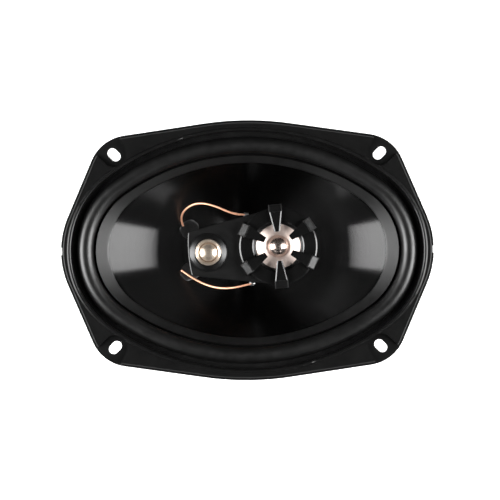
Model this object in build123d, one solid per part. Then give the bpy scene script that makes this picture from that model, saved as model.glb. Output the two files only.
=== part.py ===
from build123d import *
import math
import os

os.makedirs("parts", exist_ok=True)

# Three-way coaxial car loudspeaker of the common 6 x 9 inch oval size, in millimetres.
# The speaker axis is Z with the front up, the long axis of the oval is X, and the origin
# is the centre of the mounting plane, which is the back face of the basket's flange.

# ---------------------------------------------------------------- flange outline
END_CENTRE = 63.0            # centre of the arc at each end, on the X axis
END_RADIUS = 55.0
CORNER_CENTRE = (74.3, 47.3)
CORNER_RADIUS = 26.0
HALF_WIDTH = 82.35
SIDE_RADIUS = 190.0
HALF_LENGTH = END_CENTRE + END_RADIUS
NOTCH_LENGTH = 4.5           # small locating notch in each end of the flange
NOTCH_DEPTH = 0.7

# ---------------------------------------------------------------- oval family
# Every oval is four tangent arcs. Ovals with one blend factor are exact offsets of each other.
OVAL_CENTRE = 53.0           # end arc centre of a full oval
OVAL_DIFFERENCE = 36.0       # semi-major minus semi-minor axis of a full oval
OVAL_DROP = OVAL_DIFFERENCE * (2 * OVAL_CENTRE - OVAL_DIFFERENCE) / (2 * (OVAL_CENTRE - OVAL_DIFFERENCE))
OVAL_REACH = math.hypot(OVAL_CENTRE, OVAL_DROP)
OVAL_ANGLE = math.degrees(math.atan2(OVAL_DROP, OVAL_CENTRE))

# ---------------------------------------------------------------- basket
METAL = 1.2
LEDGE_TOP = -1.8
FLANGE_OPENING = 112.6       # semi-major axes of the ovals
SKIRT_INNER = 101.5
SKIRT_WALL_BOTTOM = -12.0
LANDING_TOP = -36.0
LANDING_OUTER = 58.0
POT_INNER = 47.0
BASKET_BOTTOM = -49.0
BASKET_HOLE = 22.0
WINDOW_WIDTHS = (36.0, 22.0, 40.0, 22.0)  # anticlockwise from +X, then the same again
WINDOW_HEIGHT = 17.0
WINDOW_Z = -24.5
WINDOW_CORNER = 4.0
VENTS = 8
VENT_RADIUS = 3.5
VENT_Z = -42.5
SLOT_X = 84.0
SLOT_Y = 61.0
SLOT_WIDTH = 6.2
SLOT_LENGTH = 9.2
SLOT_ANGLE = 45.0

# ---------------------------------------------------------------- front gasket
GASKET_INSET = 1.5
GASKET_TOP = 4.0
GASKET_INNER = 111.2
GASKET_LIP = 112.4
GASKET_LIP_BOTTOM = -1.2
GASKET_BEVEL = 0.6
BEAD_OUTER = 114.1
BEAD_TOP = 4.8
SCALLOP_RADIUS = 7.9
SCALLOP_MOUTH = 10.4
SCALLOP_REACH = 14.0
SCALLOP_ANGLE = 52.6

# ---------------------------------------------------------------- surround and cone
SURROUND_OUTER = 112.2
ROLL_OUTER = 107.6
ROLL_INNER = 98.0
ROLL_TOP = 3.4
ROLL_WALL = 0.7
RUBBER = 0.6
CONE_RIM = 96.0
CONE_TOP = -1.8
GLUE_BAND = 0.905            # share of the cone's slope at which the surround's glued band ends
NECK_RADIUS = 13.5
NECK_Z = -33.0
CONE_THICKNESS = 0.8
COLLAR_BOTTOM = -35.0
PATCH_CENTRE = (-37.0, 13.6)
PATCH_RADIUS = 7.2
PATCH_THICKNESS = 0.6

# ---------------------------------------------------------------- voice coil and spider
FORMER_INNER = 12.9
FORMER_OUTER = 13.25
FORMER_TOP = -31.5
FORMER_BOTTOM = -58.5
WINDING_OUTER = 14.0
WINDING_TOP = -46.0
WINDING_BOTTOM = -58.0
SPIDER_OUTER = 56.0
SPIDER_THICKNESS = 0.5
SPIDER_WAVES = 6
SPIDER_WAVE_INNER = 15.5
SPIDER_WAVE_OUTER = 45.5
SPIDER_WAVE_HEIGHT = 2.2
SPIDER_MIDDLE = -36.2        # height that the waves rise and fall about

# ---------------------------------------------------------------- motor
TOP_PLATE_RADIUS = 40.0
TOP_PLATE_BOTTOM = -55.0
GAP_RADIUS = 14.5
MAGNET_RADIUS = 45.0
MAGNET_HOLE = 19.0
MAGNET_BOTTOM = -72.0
MAGNET_BEVEL = 1.0
YOKE_RADIUS = 42.0
YOKE_BOTTOM = -78.0
YOKE_BEVEL = 0.8
POLE_RADIUS = 12.5
POLE_TOP = -48.0
RIVET_CIRCLE = 31.0
RIVET_RADIUS = 1.6
RIVET_HEAD = 3.2
RIVET_BEVEL = 0.5
RIVET_DEPTH = 3.0
MOTOR_SCREW_RADIUS = 2.0
MOTOR_SCREW_HEAD = 3.9
MOTOR_SCREW_HEAD_HEIGHT = 2.6
MOTOR_SCREW_SEAT = YOKE_BOTTOM + 3.0
MOTOR_SCREW_TIP = POLE_TOP + 10.0
HEX_RADIUS = 2.0
HEX_DEPTH = 1.5

# ---------------------------------------------------------------- bridge
BRIDGE_TURN = 4.6            # the bridge stands slightly turned about the post
BRIDGE_OFFSET = 0.8
BRIDGE_BOTTOM = 4.0
BRIDGE_TOP = 8.0
BRIDGE_BEVEL = 0.35          # height of the bevel round the top edge
BRIDGE_BEVEL_ANGLE = 56.0    # lean of that bevel from vertical
BRIDGE_END = 37.3
BRIDGE_CORNER = (36.2, 13.9)
BRIDGE_CORNER_ROUND = 1.5
BRIDGE_PAD = 24.0            # radius of the round end that carries the midrange driver
BRIDGE_TOUCH_ANGLE = 11.0    # where the straight sides meet that round end
POST_RADIUS = 4.5
POST_BORE = 1.6
POST_BORE_DEPTH = 8.0
BRIDGE_SCREW_HEAD = 3.1
BRIDGE_SCREW_SINK = 2.0
CROSS_LENGTH = 4.0
CROSS_WIDTH = 0.8
CROSS_DEPTH = 1.0
MID_X = 19.5                 # driver centres along the bridge's own long axis
TWEETER_X = -24.7
TAG_SIZE = (3.0, 5.5, 0.5)
TAG_UPPER = (-0.6, 20.9)
TAG_LOWER = (2.6, -19.6)
CAPACITOR_PLACE = (-9.9, 9.2)
CAPACITOR_RADIUS = 3.1
CAPACITOR_LENGTH = 11.0
CAPACITOR_ROUND = 0.5
LEG_RADIUS = 0.3
LEG_LENGTH = 3.0
LEG_SPREAD = 1.3

# ---------------------------------------------------------------- midrange driver
MID_FLANGE_TOP = 9.0
MID_FLANGE_RADIUS = 23.0
MID_RING_RADIUS = 24.5
MID_RING_INNER = 15.5
MID_RING_TOP = 12.0
MID_RING_BEVEL = (0.8, 0.5)  # width and height of the bevels at both edges of the ring
MID_LIP_BOTTOM = 10.4        # the ring's inner lip overhangs the surround
MID_LIP_RECESS = 16.3
CLAWS = 6
CLAW_FIRST_ANGLE = 30.0
CLAW_TOP = 15.5
CLAW_OUTER = 26.5
CLAW_SHOULDER = 21.6
CLAW_DROP = 2.8
CLAW_TIP = 9.2
CLAW_TIP_WIDTH = 2.1
CLAW_ROOT_WIDTH = 6.6
CLAW_BEVEL = (0.65, 0.5)     # width and height of the bevels along both sides of an arm
CLAW_BLOCK_WIDTH = 8.5
CLAW_BLOCK_BEVEL = 0.7
MID_SURROUND_OUTER = 17.5
MID_ROLL_OUTER = 15.9
MID_ROLL_INNER = 14.4
MID_ROLL_HEIGHT = 0.7
MID_ROLL_WALL = 0.3
MID_RUBBER = 0.4
MID_CONE_RADIUS = 14.6
MID_CONE_EDGE = 14.0         # the surround is glued to the cone outside this radius
MID_CONE_THICKNESS = 0.5
MID_CONE_ROOT = 5.2
MID_DOME_RADIUS = 7.1
MID_DOME_BASE = 5.9
MID_DOME_HEIGHT = 5.0
MID_DOME_THICKNESS = 0.4
MID_DISH_RIM = 16.0          # inside of the midrange basket
MID_DISH_FOOT = 9.8
MID_DISH_TOP = 3.2
MID_DISH_BOTTOM = 2.0
MID_DISH_OUTER = (16.3, 10.6)
MID_POCKET = (16.4, 10.7)    # the hole in the bridge that this basket sits in
MID_FORMER_INNER = 6.7
MID_FORMER_OUTER = 7.0
MID_FORMER_BOTTOM = -2.8
MID_FORMER_TOP = 5.8
MID_WINDING_OUTER = 7.4
MID_WINDING_BOTTOM = -2.5
MID_WINDING_TOP = 0.5
MID_POLE_RADIUS = 6.3
MID_MAGNET_RADIUS = 5.7
MID_YOKE_RADIUS = 9.5
MID_YOKE_BORE = 7.9
MID_YOKE_FLOOR = -7.5
MID_YOKE_BOTTOM = -9.0

# ---------------------------------------------------------------- tweeter
TWEETER_HOLE = 9.1           # in the bridge
TWEETER_CUP_RADIUS = 9.0
TWEETER_CUP_BOTTOM = 1.0
TWEETER_CUP_BORE = 7.8
TWEETER_SEAT = 6.0
TWEETER_SKIRT = 12.2
TWEETER_SHOULDER = (10.9, 9.3)
TWEETER_CREST = (9.1, 10.3)
TWEETER_MOUTH = (8.4, 9.7)
TWEETER_RING_RADIUS = 8.3
TWEETER_RING_SHOULDER = 9.2
TWEETER_RING_CREST = (7.9, 9.65)
TWEETER_RING_EDGE = (7.3, 9.5)
TWEETER_RING_BORE = 6.3
TWEETER_RING_FOOT = 8.5
TWEETER_FILM = (7.6, 7.9)    # heights of the suspension
TWEETER_DOME_RADIUS = 5.5
TWEETER_DOME_HEIGHT = 1.7
TWEETER_DOME_THICKNESS = 0.3
TWEETER_FORMER = (5.0, 5.3)  # inner and outer radius
TWEETER_FORMER_HEIGHTS = (4.0, 7.8)
TWEETER_WINDING_OUTER = 5.6
TWEETER_WINDING_BOTTOM = 4.2
TWEETER_MAGNET_RADIUS = 4.2
TWEETER_MAGNET_BOTTOM = 1.5
TWEETER_POLE_RADIUS = 4.6
TWEETER_POLE_HEIGHTS = (4.0, 5.8)
TWEETER_YOKE_RADIUS = 7.7
TWEETER_YOKE_BORE = 6.1
TWEETER_YOKE_BOTTOM = 0.0

# ---------------------------------------------------------------- leads
LEAD_DIAMETER = 1.3

FRONT_LEAD_UPPER = [
    (-41.2, 16.0, -18.6),
    (-42.6, 19.5, -16.0),
    (-41.2, 24.8, -10.4),
    (-35.5, 29.2, -4.0),
    (-28.0, 30.2, 0.4),
    (-19.5, 27.8, 3.2),
    (-11.5, 24.1, 4.6),
    (-5.6, 22.6, 4.9),
    (-1.2, 22.5, 4.7),
]
FRONT_LEAD_LOWER = [
    (-42.5, -12.7, -19.1),
    (-37.8, -16.0, -16.2),
    (-31.5, -19.6, -10.6),
    (-24.5, -22.6, -5.0),
    (-17.0, -24.1, -0.4),
    (-9.0, -23.8, 2.8),
    (-2.2, -22.2, 4.5),
    (3.0, -21.0, 4.7),
]
REAR_LEAD = [
    (-65.1, 6.0, -39.6),
    (-66.6, 6.0, -35.4),
    (-65.6, 6.6, -29.6),
    (-59.4, 8.6, -26.0),
    (-51.6, 11.6, -26.8),
    (-44.6, 13.4, -26.0),
    (-40.4, 13.8, -22.9),
]

# ---------------------------------------------------------------- terminals
LUG_X = -60.8
LUG_HALF_WIDTH = 15.0
LUG_BOTTOM = -52.0
BOARD_THICKNESS = 1.6
BOARD_HALF_WIDTH = 14.0
BOARD_RIVET_Y = 11.6
BOARD_RIVET_Z = -46.0
BOARD_HEIGHTS = (-51.0, -38.5)
BOARD_BEVEL = 1.5
BOARD_RIVET_RADIUS = 1.4
BOARD_RIVET_HEAD = 1.9
BOARD_RIVET_TAIL = 2.4
BOARD_RIVET_HEAD_HEIGHT = 0.8
TERMINAL_Y = 6.0
POSITIVE_WIDTH = 6.3
NEGATIVE_WIDTH = 4.8
TAB_THICKNESS = 0.8
TAB_LENGTH = 9.0
TAB_HEIGHTS = (-48.5, -40.5)
TAB_BEVEL = 1.0
DIMPLE_RADIUS = 0.9
DIMPLE_INSET = 3.0           # from the tip of the blade


# ---------------------------------------------------------------- shape helpers
def arc_loop(arcs):
    """Closed face of arcs (centre x, centre y, radius, start, finish) joined by lines."""
    edges = []
    ends = []
    for centre_x, centre_y, radius, start, finish in arcs:
        points = []
        for angle in (start, (start + finish) / 2, finish):
            turn = math.radians(angle)
            points.append((centre_x + radius * math.cos(turn), centre_y + radius * math.sin(turn)))
        edges.append(ThreePointArc(*points))
        ends.append((points[0], points[2]))
    for index in range(len(ends)):
        leave = ends[index][1]
        arrive = ends[(index + 1) % len(ends)][0]
        if math.dist(leave, arrive) > 1e-4:
            edges.append(Line(leave, arrive))
    return make_face(edges)


def tangent_direction(first, first_radius, second, second_radius):
    """Direction of the outer common tangent's normal from one circle to the next."""
    across = (second[0] - first[0], second[1] - first[1])
    lean = math.acos((first_radius - second_radius) / math.hypot(*across))
    return math.degrees(math.atan2(across[1], across[0]) - lean) % 360


def flange_outline(inset=0.0):
    """The rounded eight-sided outline of the flange, offset inwards by inset."""
    end = (END_CENTRE, 0.0)
    side = (0.0, HALF_WIDTH - SIDE_RADIUS)
    low = tangent_direction(end, END_RADIUS, CORNER_CENTRE, CORNER_RADIUS)
    high = tangent_direction(CORNER_CENTRE, CORNER_RADIUS, side, SIDE_RADIUS)
    corner_x, corner_y = CORNER_CENTRE
    end_radius = END_RADIUS - inset
    corner_radius = CORNER_RADIUS - inset
    side_radius = SIDE_RADIUS - inset
    return arc_loop([
        (END_CENTRE, 0.0, end_radius, -low, low),
        (corner_x, corner_y, corner_radius, low, high),
        (0.0, side[1], side_radius, high, 180 - high),
        (-corner_x, corner_y, corner_radius, 180 - high, 180 - low),
        (-END_CENTRE, 0.0, end_radius, 180 - low, 180 + low),
        (-corner_x, -corner_y, corner_radius, 180 + low, 180 + high),
        (0.0, -side[1], side_radius, 180 + high, 360 - high),
        (corner_x, -corner_y, corner_radius, 360 - high, 360 - low),
    ])


def oval(semi_major, blend=1.0):
    """Oval face; blend 1 is the full oval, and blend 0 is a circle of the same four arcs."""
    centre = blend * OVAL_CENTRE
    drop = blend * OVAL_DROP
    end_radius = semi_major - centre
    side_radius = end_radius + blend * OVAL_REACH
    turn = OVAL_ANGLE
    return arc_loop([
        (centre, 0.0, end_radius, -turn, turn),
        (0.0, -drop, side_radius, turn, 180 - turn),
        (-centre, 0.0, end_radius, 180 - turn, 180 + turn),
        (0.0, drop, side_radius, 180 + turn, 360 - turn),
    ])


def oval_plate(semi_major, bottom, top):
    return extrude(Pos(0, 0, bottom) * oval(semi_major), top - bottom)


def oval_funnel(rim, rim_z, neck, neck_z):
    """Solid that blends from a full oval at the top to a circle at the bottom."""
    sections = [Pos(0, 0, neck_z) * oval(neck, 0.0), Pos(0, 0, rim_z) * oval(rim, 1.0)]
    return loft(sections, ruled=True)


def oval_moulding(profile):
    """Sweep a profile drawn as (semi-major axis, z) once round the full oval."""
    turn = OVAL_ANGLE
    arcs = [
        (OVAL_CENTRE, 0.0, -OVAL_CENTRE, -turn, 2 * turn),
        (0.0, -OVAL_DROP, OVAL_REACH - OVAL_CENTRE, turn, 180 - 2 * turn),
        (-OVAL_CENTRE, 0.0, -OVAL_CENTRE, 180 - turn, 2 * turn),
        (0.0, OVAL_DROP, OVAL_REACH - OVAL_CENTRE, 180 + turn, 180 - 2 * turn),
    ]
    pieces = []
    for centre_x, centre_y, shift, start, sweep_angle in arcs:
        heading = math.radians(start)
        plane = Plane(
            origin=(centre_x, centre_y, 0),
            x_dir=(math.cos(heading), math.sin(heading), 0),
            z_dir=(math.sin(heading), -math.cos(heading), 0),
        )
        face = plane * Pos(shift, 0) * profile
        pieces.append(revolve(face, Axis((centre_x, centre_y, 0), (0, 0, 1)), sweep_angle))
    moulding = pieces[0]
    for piece in pieces[1:]:
        moulding = moulding + piece
    return moulding


def polygon(points):
    return make_face(Polyline(*points, close=True))


def turned(points):
    """Revolve a closed outline of (radius, z) points about Z."""
    return revolve(Plane.XZ * polygon(points), Axis.Z, 360)


def turned_edges(edges):
    """Revolve a closed outline of edges drawn as (radius, z) about Z."""
    return revolve(Plane.XZ * make_face(edges), Axis.Z, 360)


def disc(radius, bottom, top):
    return Pos(0, 0, bottom) * Cylinder(radius, top - bottom, align=(Align.CENTER, Align.CENTER, Align.MIN))


def tube(outer, inner, bottom, top):
    return disc(outer, bottom, top) - disc(inner, bottom, top)


def slab(low, high):
    """Box between two corners."""
    size = [high[axis] - low[axis] for axis in range(3)]
    centre = [(high[axis] + low[axis]) / 2 for axis in range(3)]
    return Pos(*centre) * Box(*size)


def on_bridge(shape, x=0.0):
    """Place a shape whose own axis is Z at a spot along the bridge."""
    return Pos(0, BRIDGE_OFFSET, 0) * Rot(0, 0, BRIDGE_TURN) * Pos(x, 0, 0) * shape


def mirrored_pair(first):
    """The four places of a point mirrored in X and Y, with the sign of each."""
    x, y = first
    return [(sx * x, sy * y, sx * sy) for sx in (1, -1) for sy in (1, -1)]


def save(shape, name):
    export_step(shape, f"parts/{name}.step")


# ---------------------------------------------------------------- basket
def end_notches():
    reach = HALF_LENGTH - NOTCH_DEPTH
    height = 20.0
    right = slab((reach, -NOTCH_LENGTH / 2, -height), (reach + 5, NOTCH_LENGTH / 2, height))
    return right + mirror(right, Plane.YZ)


def mounting_slots():
    slots = []
    for x, y, hand in mirrored_pair((SLOT_X, SLOT_Y)):
        face = SlotOverall(SLOT_LENGTH, SLOT_WIDTH)
        slots.append(Pos(x, y, -5) * Rot(0, 0, hand * SLOT_ANGLE) * extrude(face, 10))
    return slots


def skirt_windows():
    """Open windows in the sloped skirt: wide ones on the axes, narrower ones between them."""
    windows = []
    for index, width in enumerate(WINDOW_WIDTHS * 2):
        face = RectangleRounded(width, WINDOW_HEIGHT, WINDOW_CORNER)
        opening = Pos(BASKET_HOLE, 0, WINDOW_Z) * extrude(Plane.YZ * face, HALF_LENGTH)
        windows.append(Rot(0, 0, 45 * index) * opening)
    return windows


def pot_vents():
    vents = []
    for index in range(VENTS):
        hole = Pos(POT_INNER, 0, VENT_Z) * Rot(0, 90, 0) * Cylinder(VENT_RADIUS, 10 * METAL)
        vents.append(Rot(0, 0, (index + 0.5) * 360 / VENTS) * hole)
    return vents


def rivet_places():
    return [Rot(0, 0, 45 + 90 * index) * Pos(RIVET_CIRCLE, 0, 0) for index in range(4)]


def terminal_lug():
    """Tongue from the spider landing, bent down to carry the terminal board."""
    tongue = slab((LUG_X - METAL, -LUG_HALF_WIDTH, LANDING_TOP - METAL), (-50, LUG_HALF_WIDTH, LANDING_TOP))
    tongue = tongue - disc(POT_INNER + METAL, LANDING_TOP - METAL, LANDING_TOP)
    plate = slab((LUG_X - METAL, -LUG_HALF_WIDTH, LUG_BOTTOM), (LUG_X, LUG_HALF_WIDTH, LANDING_TOP))
    return tongue + plate


def make_basket():
    flange = extrude(flange_outline(), METAL) - oval_plate(FLANGE_OPENING, 0, METAL)
    skirt_outer = SKIRT_INNER + METAL
    step = polygon([
        (FLANGE_OPENING, METAL),
        (FLANGE_OPENING + METAL, METAL),
        (FLANGE_OPENING + METAL, LEDGE_TOP - METAL),
        (skirt_outer, LEDGE_TOP - METAL),
        (skirt_outer, SKIRT_WALL_BOTTOM),
        (SKIRT_INNER, SKIRT_WALL_BOTTOM),
        (SKIRT_INNER, LEDGE_TOP),
        (FLANGE_OPENING, LEDGE_TOP),
    ])
    cone_outer = oval_funnel(skirt_outer, SKIRT_WALL_BOTTOM, LANDING_OUTER, LANDING_TOP - METAL)
    cone_inner = oval_funnel(SKIRT_INNER, SKIRT_WALL_BOTTOM, LANDING_OUTER - METAL, LANDING_TOP - METAL)
    skirt = cone_outer - cone_inner
    for window in skirt_windows():
        skirt = skirt - window
    pot = turned([
        (LANDING_OUTER, LANDING_TOP - METAL),
        (LANDING_OUTER, LANDING_TOP),
        (POT_INNER, LANDING_TOP),
        (POT_INNER, BASKET_BOTTOM + METAL),
        (BASKET_HOLE, BASKET_BOTTOM + METAL),
        (BASKET_HOLE, BASKET_BOTTOM),
        (POT_INNER + METAL, BASKET_BOTTOM),
        (POT_INNER + METAL, LANDING_TOP - METAL),
    ])
    for vent in pot_vents():
        pot = pot - vent
    basket = flange + oval_moulding(step) + skirt + pot + terminal_lug()
    basket = basket - end_notches()
    for slot in mounting_slots():
        basket = basket - slot
    for place in rivet_places():
        basket = basket - place * disc(RIVET_RADIUS, BASKET_BOTTOM, BASKET_BOTTOM + METAL)
    for rivet in terminal_rivet_shanks():
        basket = basket - rivet
    return basket


def make_basket_rivets():
    rivets = []
    for place in rivet_places():
        shank = disc(RIVET_RADIUS, BASKET_BOTTOM - RIVET_DEPTH, BASKET_BOTTOM + METAL)
        head = disc(RIVET_HEAD, BASKET_BOTTOM + METAL, BASKET_BOTTOM + 2 * METAL)
        head = chamfer(head.edges().group_by(Axis.Z)[-1], RIVET_BEVEL)
        rivets.append(place * (shank + head))
    return Compound(children=[Solid(rivet.solid().wrapped) for rivet in rivets])


# ---------------------------------------------------------------- front gasket
def scallops():
    """Clearings round the screw slots, open to the corners of the flange."""
    cutters = []
    for x, y, _hand in mirrored_pair((SLOT_X, SLOT_Y)):
        mouth = polygon([
            (0, -SCALLOP_RADIUS),
            (SCALLOP_REACH, -SCALLOP_MOUTH),
            (SCALLOP_REACH, SCALLOP_MOUTH),
            (0, SCALLOP_RADIUS),
        ])
        lean = SCALLOP_ANGLE if y > 0 else -SCALLOP_ANGLE
        heading = lean if x > 0 else 180 - lean
        face = Circle(SCALLOP_RADIUS) + Rot(0, 0, heading) * mouth
        cutters.append(Pos(x, y, METAL) * extrude(face, 10))
    return cutters


def make_front_gasket():
    ring = extrude(Pos(0, 0, METAL) * flange_outline(GASKET_INSET), GASKET_TOP - METAL)
    ring = chamfer(ring.edges().group_by(Axis.Z)[-1], GASKET_BEVEL)
    ring = ring - oval_plate(BEAD_OUTER - 0.5, METAL, GASKET_TOP)
    bead_middle = (GASKET_INNER + BEAD_OUTER) / 2
    bead = make_face([
        Line((BEAD_OUTER, GASKET_TOP), (BEAD_OUTER, METAL)),
        Line((BEAD_OUTER, METAL), (GASKET_LIP, METAL)),
        Line((GASKET_LIP, METAL), (GASKET_LIP, GASKET_LIP_BOTTOM)),
        Line((GASKET_LIP, GASKET_LIP_BOTTOM), (GASKET_INNER, GASKET_LIP_BOTTOM)),
        Line((GASKET_INNER, GASKET_LIP_BOTTOM), (GASKET_INNER, GASKET_TOP - GASKET_BEVEL)),
        ThreePointArc(
            (GASKET_INNER, GASKET_TOP - GASKET_BEVEL),
            (bead_middle - 0.15, BEAD_TOP),
            (BEAD_OUTER, GASKET_TOP),
        ),
    ])
    gasket = ring + oval_moulding(bead)
    for cutter in scallops():
        gasket = gasket - cutter
    return gasket - end_notches()


# ---------------------------------------------------------------- surround, cone and patches
def make_surround():
    flat_top = LEDGE_TOP + RUBBER
    middle = (ROLL_OUTER + ROLL_INNER) / 2
    under_inner = ROLL_INNER + ROLL_WALL
    under_outer = ROLL_OUTER - ROLL_WALL
    profile = make_face([
        Line((SURROUND_OUTER, LEDGE_TOP), (SURROUND_OUTER, flat_top)),
        Line((SURROUND_OUTER, flat_top), (ROLL_OUTER, flat_top)),
        ThreePointArc((ROLL_OUTER, flat_top), (middle, ROLL_TOP), (ROLL_INNER, flat_top)),
        Line((ROLL_INNER, flat_top), (CONE_RIM, flat_top)),
        Line((CONE_RIM, flat_top), (CONE_RIM, CONE_TOP)),
        Line((CONE_RIM, CONE_TOP), (under_inner, LEDGE_TOP)),
        ThreePointArc((under_inner, LEDGE_TOP), (middle, ROLL_TOP - ROLL_WALL), (under_outer, LEDGE_TOP)),
        Line((under_outer, LEDGE_TOP), (SURROUND_OUTER, LEDGE_TOP)),
    ])
    return oval_moulding(profile) + glued_band()


def cone_bowl(lift=0.0):
    """The space inside the cone, moved up by lift."""
    return Pos(0, 0, lift) * oval_funnel(CONE_RIM, CONE_TOP, NECK_RADIUS, NECK_Z)


def glued_band():
    """Inner flange of the surround, which lies on the upper slope of the cone."""
    band_bottom = NECK_Z + (CONE_TOP - NECK_Z) * GLUE_BAND
    band = cone_bowl() + oval_plate(CONE_RIM, CONE_TOP, CONE_TOP + RUBBER)
    band = band & oval_plate(CONE_RIM, band_bottom, CONE_TOP + RUBBER)
    return band - cone_bowl(RUBBER)


def make_woofer_cone():
    rim = oval_plate(CONE_RIM, CONE_TOP - CONE_THICKNESS, CONE_TOP)
    collar = disc(NECK_RADIUS + 0.5, COLLAR_BOTTOM, NECK_Z)
    cone = cone_bowl(-CONE_THICKNESS) + rim + collar
    bore = disc(FORMER_OUTER + 0.05, COLLAR_BOTTOM, NECK_Z)
    return cone - cone_bowl() - bore


def make_lead_patch(side):
    x, y = PATCH_CENTRE
    column = Pos(x, side * y, 0) * disc(PATCH_RADIUS, NECK_Z, -2)
    skin = cone_bowl() - cone_bowl(PATCH_THICKNESS)
    return (skin & column).solid()


# ---------------------------------------------------------------- voice coil and spider
def make_spider():
    step = (SPIDER_WAVE_OUTER - SPIDER_WAVE_INNER) / (4 * SPIDER_WAVES)
    upper = [(FORMER_OUTER + 0.05, SPIDER_MIDDLE)]
    for index in range(4 * SPIDER_WAVES + 1):
        height = SPIDER_WAVE_HEIGHT / 2 * math.sin(index * math.pi / 2)
        upper.append((SPIDER_WAVE_INNER + index * step, SPIDER_MIDDLE + height))
    upper.append((POT_INNER - 0.4, LANDING_TOP))
    upper.append((SPIDER_OUTER, LANDING_TOP))
    lower = [(radius, z + SPIDER_THICKNESS) for radius, z in reversed(upper)]
    return turned(upper + lower)


def make_voice_coil_former():
    return tube(FORMER_OUTER, FORMER_INNER, FORMER_BOTTOM, FORMER_TOP)


def make_voice_coil_winding():
    return tube(WINDING_OUTER, FORMER_OUTER, WINDING_BOTTOM, WINDING_TOP)


# ---------------------------------------------------------------- motor
def make_top_plate():
    plate = tube(TOP_PLATE_RADIUS, GAP_RADIUS, TOP_PLATE_BOTTOM, BASKET_BOTTOM)
    for place in rivet_places():
        plate = plate - place * disc(RIVET_RADIUS, BASKET_BOTTOM - RIVET_DEPTH, BASKET_BOTTOM)
    return plate


def make_magnet_ring():
    return turned([
        (MAGNET_HOLE, MAGNET_BOTTOM),
        (MAGNET_RADIUS - MAGNET_BEVEL, MAGNET_BOTTOM),
        (MAGNET_RADIUS, MAGNET_BOTTOM + MAGNET_BEVEL),
        (MAGNET_RADIUS, TOP_PLATE_BOTTOM - MAGNET_BEVEL),
        (MAGNET_RADIUS - MAGNET_BEVEL, TOP_PLATE_BOTTOM),
        (MAGNET_HOLE, TOP_PLATE_BOTTOM),
    ])


def make_yoke():
    counterbore = MOTOR_SCREW_HEAD + 0.5
    bore = MOTOR_SCREW_RADIUS + 0.1
    return turned([
        (counterbore, YOKE_BOTTOM),
        (YOKE_RADIUS - YOKE_BEVEL, YOKE_BOTTOM),
        (YOKE_RADIUS, YOKE_BOTTOM + YOKE_BEVEL),
        (YOKE_RADIUS, MAGNET_BOTTOM),
        (POLE_RADIUS, MAGNET_BOTTOM),
        (POLE_RADIUS, POLE_TOP - YOKE_BEVEL),
        (POLE_RADIUS - YOKE_BEVEL, POLE_TOP),
        (bore, POLE_TOP),
        (bore, MOTOR_SCREW_SEAT),
        (counterbore, MOTOR_SCREW_SEAT),
    ])


def make_motor_screw():
    bottom = MOTOR_SCREW_SEAT - MOTOR_SCREW_HEAD_HEIGHT
    socket = extrude(Pos(0, 0, bottom) * RegularPolygon(HEX_RADIUS, 6), HEX_DEPTH)
    head = disc(MOTOR_SCREW_HEAD, bottom, MOTOR_SCREW_SEAT) - socket
    return head + disc(MOTOR_SCREW_RADIUS, MOTOR_SCREW_SEAT, MOTOR_SCREW_TIP)


# ---------------------------------------------------------------- bridge
def bridge_outline():
    corner_x, corner_y = BRIDGE_CORNER
    turn = math.radians(BRIDGE_TOUCH_ANGLE)
    touch_x = MID_X - BRIDGE_PAD * math.sin(turn)
    touch_y = BRIDGE_PAD * math.cos(turn)
    body = make_face([
        ThreePointArc((-corner_x, corner_y), (-BRIDGE_END, 0), (-corner_x, -corner_y)),
        Line((-corner_x, -corner_y), (touch_x, -touch_y)),
        Line((touch_x, -touch_y), (touch_x, touch_y)),
        Line((touch_x, touch_y), (-corner_x, corner_y)),
    ])
    body = fillet(body.vertices().group_by(Axis.X)[0], BRIDGE_CORNER_ROUND)
    return body + Pos(MID_X, 0) * Circle(BRIDGE_PAD)


def make_bridge_plate():
    shoulder = BRIDGE_TOP - BRIDGE_BEVEL
    plate = extrude(Pos(0, 0, BRIDGE_BOTTOM) * bridge_outline(), shoulder - BRIDGE_BOTTOM)
    plate = plate + extrude(Pos(0, 0, shoulder) * bridge_outline(), BRIDGE_BEVEL, taper=BRIDGE_BEVEL_ANGLE)
    pocket_top, pocket_bottom = MID_POCKET
    pocket = turned([
        (0, MID_DISH_BOTTOM - 0.2),
        (pocket_bottom, MID_DISH_BOTTOM - 0.2),
        (pocket_top, BRIDGE_TOP + 0.1),
        (0, BRIDGE_TOP + 0.1),
    ])
    plate = plate - Pos(MID_X, 0, 0) * pocket
    plate = plate - Pos(TWEETER_X, 0, 0) * disc(TWEETER_HOLE, BRIDGE_BOTTOM, BRIDGE_TOP)
    screw_hole = disc(POST_BORE, BRIDGE_BOTTOM, BRIDGE_TOP)
    sink = disc(BRIDGE_SCREW_HEAD + 0.1, BRIDGE_TOP - BRIDGE_SCREW_SINK, BRIDGE_TOP)
    return on_bridge(plate) - screw_hole - sink


def make_bridge_post():
    post = disc(POST_RADIUS, POLE_TOP, BRIDGE_BOTTOM)
    post = post - disc(MOTOR_SCREW_RADIUS, POLE_TOP, MOTOR_SCREW_TIP)
    return post - disc(POST_BORE, BRIDGE_BOTTOM - POST_BORE_DEPTH, BRIDGE_BOTTOM)


def make_bridge_screw():
    seat = BRIDGE_TOP - BRIDGE_SCREW_SINK
    head = disc(BRIDGE_SCREW_HEAD, seat, BRIDGE_TOP - 0.2)
    cross = Box(CROSS_LENGTH, CROSS_WIDTH, CROSS_DEPTH) + Box(CROSS_WIDTH, CROSS_LENGTH, CROSS_DEPTH)
    shank = disc(POST_BORE, BRIDGE_BOTTOM - POST_BORE_DEPTH, seat)
    return head + shank - Pos(0, 0, BRIDGE_TOP - CROSS_DEPTH / 2) * cross


def make_lead_tag(centre):
    x, y = centre
    width, length, thickness = TAG_SIZE
    return Pos(x, y, BRIDGE_BOTTOM - thickness / 2) * Box(width, length, thickness)


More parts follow.
